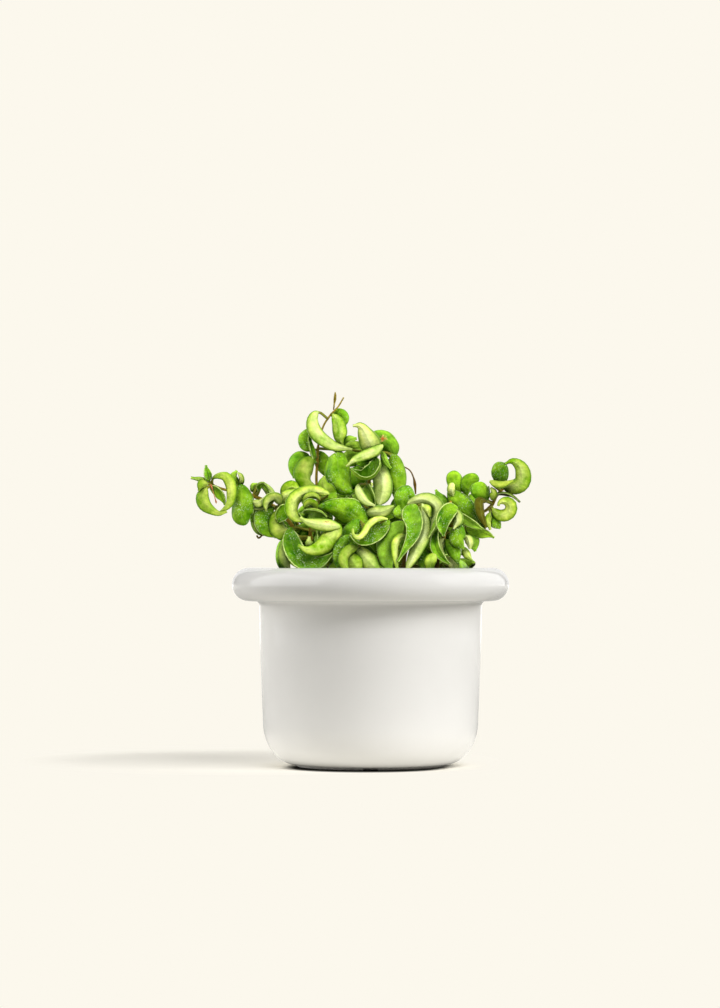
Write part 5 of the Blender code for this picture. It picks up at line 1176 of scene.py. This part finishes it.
def hidden_blade(root, compass, chance):
    """One curled leaf that leaves its stem along a compass angle."""
    rolls_down = chance.random() < SHARE_ROLLED_DOWN
    angle = math.radians(compass)
    way = Vector((math.cos(angle), math.sin(angle), chance.uniform(*LEAF_RISES))).normalized()
    up_way = Vector((0, 0, 1)) if rolls_down else Vector((0, 0, -1))
    lean = math.radians(chance.uniform(-LARGEST_LEAN, LARGEST_LEAN))
    curl = -math.radians(chance.uniform(*LEAF_CURLS))
    stalk = chance.uniform(*STALK_LENGTHS) * MM
    length = chance.uniform(*LEAF_LENGTHS) * MM
    half = chance.uniform(*LEAF_HALF_WIDTHS) * MM
    cup = chance.uniform(*LEAF_CUPS) * (-1 if rolls_down else 1)
    points = curled_points(root, way, up_way, stalk, length, curl, lean)
    return Blade(root, points, half, LEAF_TURN, cup, LEAF_BELLY, LEAF_FULLNESS,
                 Vector((0, 0, 1)), compass, 4, 0.0)


def is_hidden(vertices):
    """Whether points are behind the rim or inside the outline, seen from the front."""
    for vertex in vertices:
        size = 1.0 + vertex.y / EYE_DISTANCE
        up = (EYE_LEVEL + (vertex.z - EYE_LEVEL) / size) / MM
        if vertex.z > POT_HEIGHT + MM and not is_inside(FRONT_OUTLINE, vertex.x / size / MM, up):
            return False
    return True


def place_hidden_leaves(foliage, routes):
    """Opposite pairs of curled leaves, a quarter turn on at each level, for the sides and back."""
    chance = random.Random(7)
    shades = random.Random(23)
    for stem, low, high, levels, first, last in HIDDEN_FOLIAGE:
        for level in range(levels):
            height = (low + (high - low) * level / max(levels - 1, 1)) * MM
            root = min(joints_of(routes[stem]), key=lambda sample: abs(sample.z - height))
            for pair in range(2):
                for attempt in range(ATTEMPTS):
                    compass = 90.0 * level + 180.0 * pair + chance.uniform(-LARGEST_SWING, LARGEST_SWING)
                    blade = hidden_blade(root, compass, chance)
                    if not first <= compass % 360 <= last and not first <= compass % 360 - 360 <= last:
                        continue
                    grown = leaf_solid(blade, CLEARANCE)
                    if is_hidden(grown[0]) and foliage.is_clear(stem, grown, blade_only(grown)):
                        blade = blade._replace(shade=shades.uniform(*LEAF_SHADES))
                        foliage.add(stem, leaf_solid(blade), blade)
                        break


FINE_COLUMNS = (0.05, 0.18, 0.36, 0.54, 0.71, 0.86, 0.955)
FINE_STATIONS = 24
FINE_START = 0.012
STALK_STATIONS = (0.0, 0.25, 0.5, 0.75)
MIDRIB_DEPTH = 0.0003
MIDRIB_WIDTH = 0.09


def leaf_skin(blade):
    """The finished leaf: a rounded margin all round, a groove over the midrib and a rib below."""
    shares = [0.5 - 0.5 * math.cos(math.pi * step / FINE_STATIONS) for step in range(FINE_STATIONS)]
    shares = [FINE_START + (1.0 - FINE_START) * share for share in shares]
    sections, tip = leaf_sections(blade, STALK_STATIONS, shares)
    columns = [-column for column in reversed(FINE_COLUMNS)] + [0.0] + list(FINE_COLUMNS)
    ring_size = 2 * len(columns) + 2
    vertices = []
    upper_side = []
    across = []
    along = []
    for section in sections:
        upper = []
        lower = []
        for column in columns:
            middle, face = across_blade(section, column)
            plump = section.thick * (1.0 - abs(column) ** 5) ** 0.5
            groove = MIDRIB_DEPTH * section.blend * math.exp(-(column / MIDRIB_WIDTH) ** 2)
            upper.append(middle + face * (plump - groove))
            lower.append(middle - face * (plump + groove))
        ring = [across_blade(section, -1.0)[0]] + upper + [across_blade(section, 1.0)[0]] + lower[::-1]
        vertices += ring
        upper_side += [0.5] + [1.0] * len(columns) + [0.5] + [0.0] * len(columns)
        spots = [abs(column) for column in columns]
        across += [1.0] + spots + [1.0] + spots[::-1]
        along += [section.share if section.share > 0 else -1.0] * ring_size
    faces = [tuple(range(ring_size))]
    for ring in range(len(sections) - 1):
        for corner in range(ring_size):
            a = ring * ring_size + corner
            b = ring * ring_size + (corner + 1) % ring_size
            faces.append((b, a, a + ring_size, b + ring_size))
    last = len(vertices) - ring_size
    faces += [(last + (corner + 1) % ring_size, last + corner, len(vertices))
              for corner in range(ring_size)]
    vertices.append(tip)
    return vertices, faces, upper_side + [0.5], across + [1.0], along + [1.0]


fixed = []
for name in ("pot", "potting_mix"):
    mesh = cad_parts[name].data
    fixed.append(BVHTree.FromPolygons([vertex.co.copy() for vertex in mesh.vertices],
                                      [tuple(face.vertices) for face in mesh.polygons]))
foliage = Foliage(fixed)
stem_routes = place_stems(foliage)
place_shown_leaves(foliage, stem_routes)
place_hidden_leaves(foliage, stem_routes)


def layered(tree, colour, layers):
    """A colour with others laid over it; each layer is how much of it there is, and its colour."""
    for share, over in layers:
        colour = blended(tree, share, colour, over)
    return colour


# Green flesh under a waxy skin, paler below than above. Each leaf has a shade and a tone of its
# own, and a few are brown and dry; the shade is partly the leaf's own and partly painted light
# and shade for where it sits in the plant.
material, tree, shader, place = new_material("waxy_leaf", 0.4)
shader.inputs["Specular IOR Level"].default_value = 0.20
shader.inputs["Specular Tint"].default_value = paint(226, 255, 150)
upper_side = point_value(tree, "upper_side")
across = point_value(tree, "across")
along = point_value(tree, "along")
shade = point_value(tree, "shade")
own_tone = point_value(tree, "own_tone")
cloud = tone_of(tree, place, 110.0, 3.0, 2.6)
blotch = tone_of(tree, place, 300.0, 3.0, 2.4)
upper = blended(tree, cloud, paint(78, 152, 2), paint(190, 250, 56))
under = blended(tree, cloud, paint(134, 190, 0), paint(238, 255, 104))
pale_green = blended(tree, upper_side, paint(248, 255, 160), paint(214, 246, 100))
leaf_colour = layered(tree, blended(tree, upper_side, under, upper), [
    (ranged(tree, shade, 0.0, 1.0, 0.0, 0.60), pale_green),
    (ranged(tree, shade, 0.0, -1.0, 0.0, 0.60), paint(22, 66, 0)),
    (ranged(tree, shade, -1.2, -2.0, 0.0, 0.85), paint(92, 74, 20))])
mottle = ranged(tree, blotch, 0.1, 0.9, 0.84, 1.19)
own_value = ranged(tree, own_tone, 0.0, 1.0, 0.90, 1.10)
leaf_colour = add_node(tree, "HueSaturation", {
    "Color": leaf_colour, "Saturation": 1.0, "Hue": ranged(tree, own_tone, 1.0, 0.0, 0.49, 0.505),
    "Value": product(tree, mottle, own_value)}).outputs[0]

# A painted highlight makes the underside palest along its middle, and painted shade makes it greener toward
# its margin
below = computed(tree, "SUBTRACT", 1.0, upper_side)
painted_highlight_middle = product(tree, ranged(tree, shade, -0.6, 0.8, 0.05, 0.85), cloud,
                      ranged(tree, across, 0.65, 0.10, smooth=True), below)
painted_shade_edge = product(tree, ranged(tree, across, 0.40, 0.97, 0.0, 0.75, smooth=True), below)
leaf_colour = layered(tree, leaf_colour, [(painted_highlight_middle, paint(244, 255, 186)),
                                          (painted_shade_edge, paint(98, 150, 4))])

# Painted shade: the green deepens where leaves close in on one another
open_air = add_node(tree, "AmbientOcclusion", {"Distance": 0.011}, samples=6).outputs["AO"]
painted_shade_between_leaves = ranged(tree, open_air, 0.95, 0.40, 0.0, 1.0)
leaf_colour = blended(tree, painted_shade_between_leaves, leaf_colour, paint(40, 82, 0), "MULTIPLY")

# A dark green band inside a thin pale rim, partly the leaf's own margin and partly painted shade
# along its edge; a pale midrib; and pale specks in patches of the upper side, most on the dark
# leaves, partly the leaf's own flecks and partly a painted sheen
rim_start = ranged(tree, upper_side, 0.0, 1.0, 0.95, 0.86)
rim_line = product(tree, ranged(tree, across, rim_start, 0.985, smooth=True),
                   ranged(tree, blotch, 0.25, 0.75, 0.35, 0.85))
speck_cells = add_node(tree, "TexNoise", {"Vector": place, "Scale": 1000.0, "Detail": 2.0})
speck = ranged(tree, speck_cells.outputs[0], 0.56, 0.68, 0.0, 1.0)
patch = ranged(tree, tone_of(tree, place, 90.0, 2.0, 2.4), 0.35, 0.75)
fleck_and_sheen = product(tree, ranged(tree, shade, 0.1, -0.8, 0.12, 0.65), ranged(tree, shade, -1.5, -1.1),
                upper_side)
speck = product(tree, product(tree, speck, patch), fleck_and_sheen)
leaf_colour = layered(tree, leaf_colour, [
    (ranged(tree, across, 0.70, 0.92, 0.0, 0.55, smooth=True), paint(52, 104, 0)),
    (rim_line, paint(232, 250, 150)),
    (ranged(tree, across, 0.08, 0.0, 0.0, 0.14, smooth=True), paint(190, 216, 100)),
    (speck, paint(222, 234, 196))])

# A corky orange scar on one leaf near the top, and a red scratch on a leaf at the left: middle,
# stretch, size, colour and strength
SCAR = (0.0095, -0.006, 0.2480)
SCRATCH = (-0.0325, -0.060, 0.1843)
MARKS = [(SCAR, (1.0, 0.25, 1.0), 0.0036, paint(250, 212, 130), 0.85),
         (SCAR, (1.0, 0.25, 1.2), 0.0026, paint(222, 104, 36), 0.90),
         (SCRATCH, (0.5, 0.20, 1.5), 0.0017, paint(190, 80, 40), 0.75)]
for middle, stretch, size, wound, strength in MARKS:
    from_mark = add_node(tree, "VectorMath", {0: place, 1: middle}, operation="SUBTRACT")
    flat = add_node(tree, "VectorMath", {0: from_mark.outputs["Vector"], 1: stretch}, operation="MULTIPLY")
    off = add_node(tree, "VectorMath", {0: flat.outputs["Vector"]}, operation="LENGTH").outputs["Value"]
    ragged = product(tree, tone_of(tree, place, 900.0, 3.0, 3.0), size)
    mark = ranged(tree, computed(tree, "ADD", off, ragged), size * 1.15, size * 0.85, 0.0, strength)
    leaf_colour = blended(tree, mark, leaf_colour, wound)
stalk = ranged(tree, along, -0.5, 0.02, 1.0, 0.0)
leaf_colour = blended(tree, stalk, leaf_colour, paint(126, 128, 44))
dimple = relief(tree, cloud, 0.7, 0.0012)
pore = relief(tree, tone_of(tree, place, 800.0, 2.0), 0.25, 0.00015, dimple)
dress(tree, shader, leaf_colour, pore, ranged(tree, blotch, 0.0, 1.0, 0.28, 0.44))
waxy_leaf = material

# Each stem with its leaves is one piece. The bark swells a little at each joint, and every
# point carries the values that the finishes read.
POINT_VALUES = ("upper_side", "across", "along", "shade", "own_tone")
JOINT_SWELL = 0.30
JOINT_REACH = 1.5 * MM
tones = random.Random(31)
for name, (spot, above, foot, tip) in STEMS.items():
    samples = stem_routes[name]
    run = distances(samples)
    joints = [blade.root for blade in foliage.blades[name]]
    radii = []
    for point, at in zip(samples, run):
        gap = min((point - joint).length for joint in joints)
        plain = foot + (tip - foot) * at / run[-1]
        radii.append(plain * (1.0 + JOINT_SWELL * math.exp(-(gap / JOINT_REACH) ** 2)) * MM)
    vertices, faces = tube(samples, radii, BARK_SIDES)
    finishes = [1] * len(faces)
    values = {what: [0.0] * len(vertices) for what in POINT_VALUES}
    values["along"] = [at / run[-1] for at in run for corner in range(BARK_SIDES)]
    for blade in foliage.blades[name]:
        skin, skin_faces, sides, spots, shares = leaf_skin(blade)
        first = len(vertices)
        vertices += skin
        faces += [tuple(first + corner for corner in face) for face in skin_faces]
        finishes += [0] * len(skin_faces)
        own_shade = [blade.shade] * len(skin)
        own_tones = [tones.random()] * len(skin)
        for what, more in zip(POINT_VALUES, (sides, spots, shares, own_shade, own_tones)):
            values[what] += more
    piece = new_piece(name + "_and_leaves", vertices, faces, [waxy_leaf, stem_bark])
    piece.data.polygons.foreach_set("material_index", finishes)
    for what in POINT_VALUES:
        set_point_values(piece, what, values[what])
    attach(piece, "root")
    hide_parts(name)
    leafy.objects.link(piece)


# Twigs
# A slim bud stands on the crown, an old flower stalk with its knob leans out behind the
# second stem, and a short bare twig hangs under the left one. All have the stems' bark.
TWIG_AGES = (1.0, 0.0, 0.3)
TWIG_STEPS = 6


def tapered(radii, count):
    """The radius at each sample of a twig, from the radius in millimetres at each of its points."""
    widths = []
    for index in range(count):
        at = index / TWIG_STEPS
        low = min(int(at), len(radii) - 2)
        widths.append((radii[low] + (radii[low + 1] - radii[low]) * (at - low)) * MM)
    return widths


for number, (name, points, radii) in enumerate(TWIGS):
    samples, marks = smooth_route([Vector(point) * MM for point in points], TWIG_STEPS)
    vertices, faces = tube(samples, tapered(radii, len(samples)), BARK_SIDES)
    piece = new_piece("twig_" + str(number + 1), vertices, faces, [stem_bark])
    set_point_values(piece, "along", [TWIG_AGES[number]] * len(vertices))
    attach(piece, "root")


# Young shoot
# Where the long left stem ends, a soft reddish shoot hangs down, with a knot of tiny buds at
# its root and one at its tip. It is too fine for the solids, so it is added here.
SHOOT = [(-121.6, -30.5, 213.0), (-120.8, -32.0, 211.4), (-119.9, -32.5, 209.0), (-119.0, -32.8, 206.0),
         (-118.0, -33.0, 202.6), (-117.3, -33.0, 200.2), (-117.1, -33.0, 199.0)]
SHOOT_RADII = (1.0, 0.9, 0.34, 0.30, 0.30, 0.75, 0.25)
SHOOT_SIDES = 10
material, tree, shader, place = new_material("young_shoot", 0.5)
shader.inputs["Specular IOR Level"].default_value = 0.3
flush = tone_of(tree, place, 700.0, 2.0, 2.4)
tree.links.new(blended(tree, flush, paint(214, 96, 84), paint(236, 176, 96)), shader.inputs["Base Color"])
samples, marks = smooth_route([seen(*point) for point in SHOOT], TWIG_STEPS)
shoot = new_piece("young_shoot", *tube(samples, tapered(SHOOT_RADII, len(samples)), SHOOT_SIDES), [material])
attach(shoot, "root")
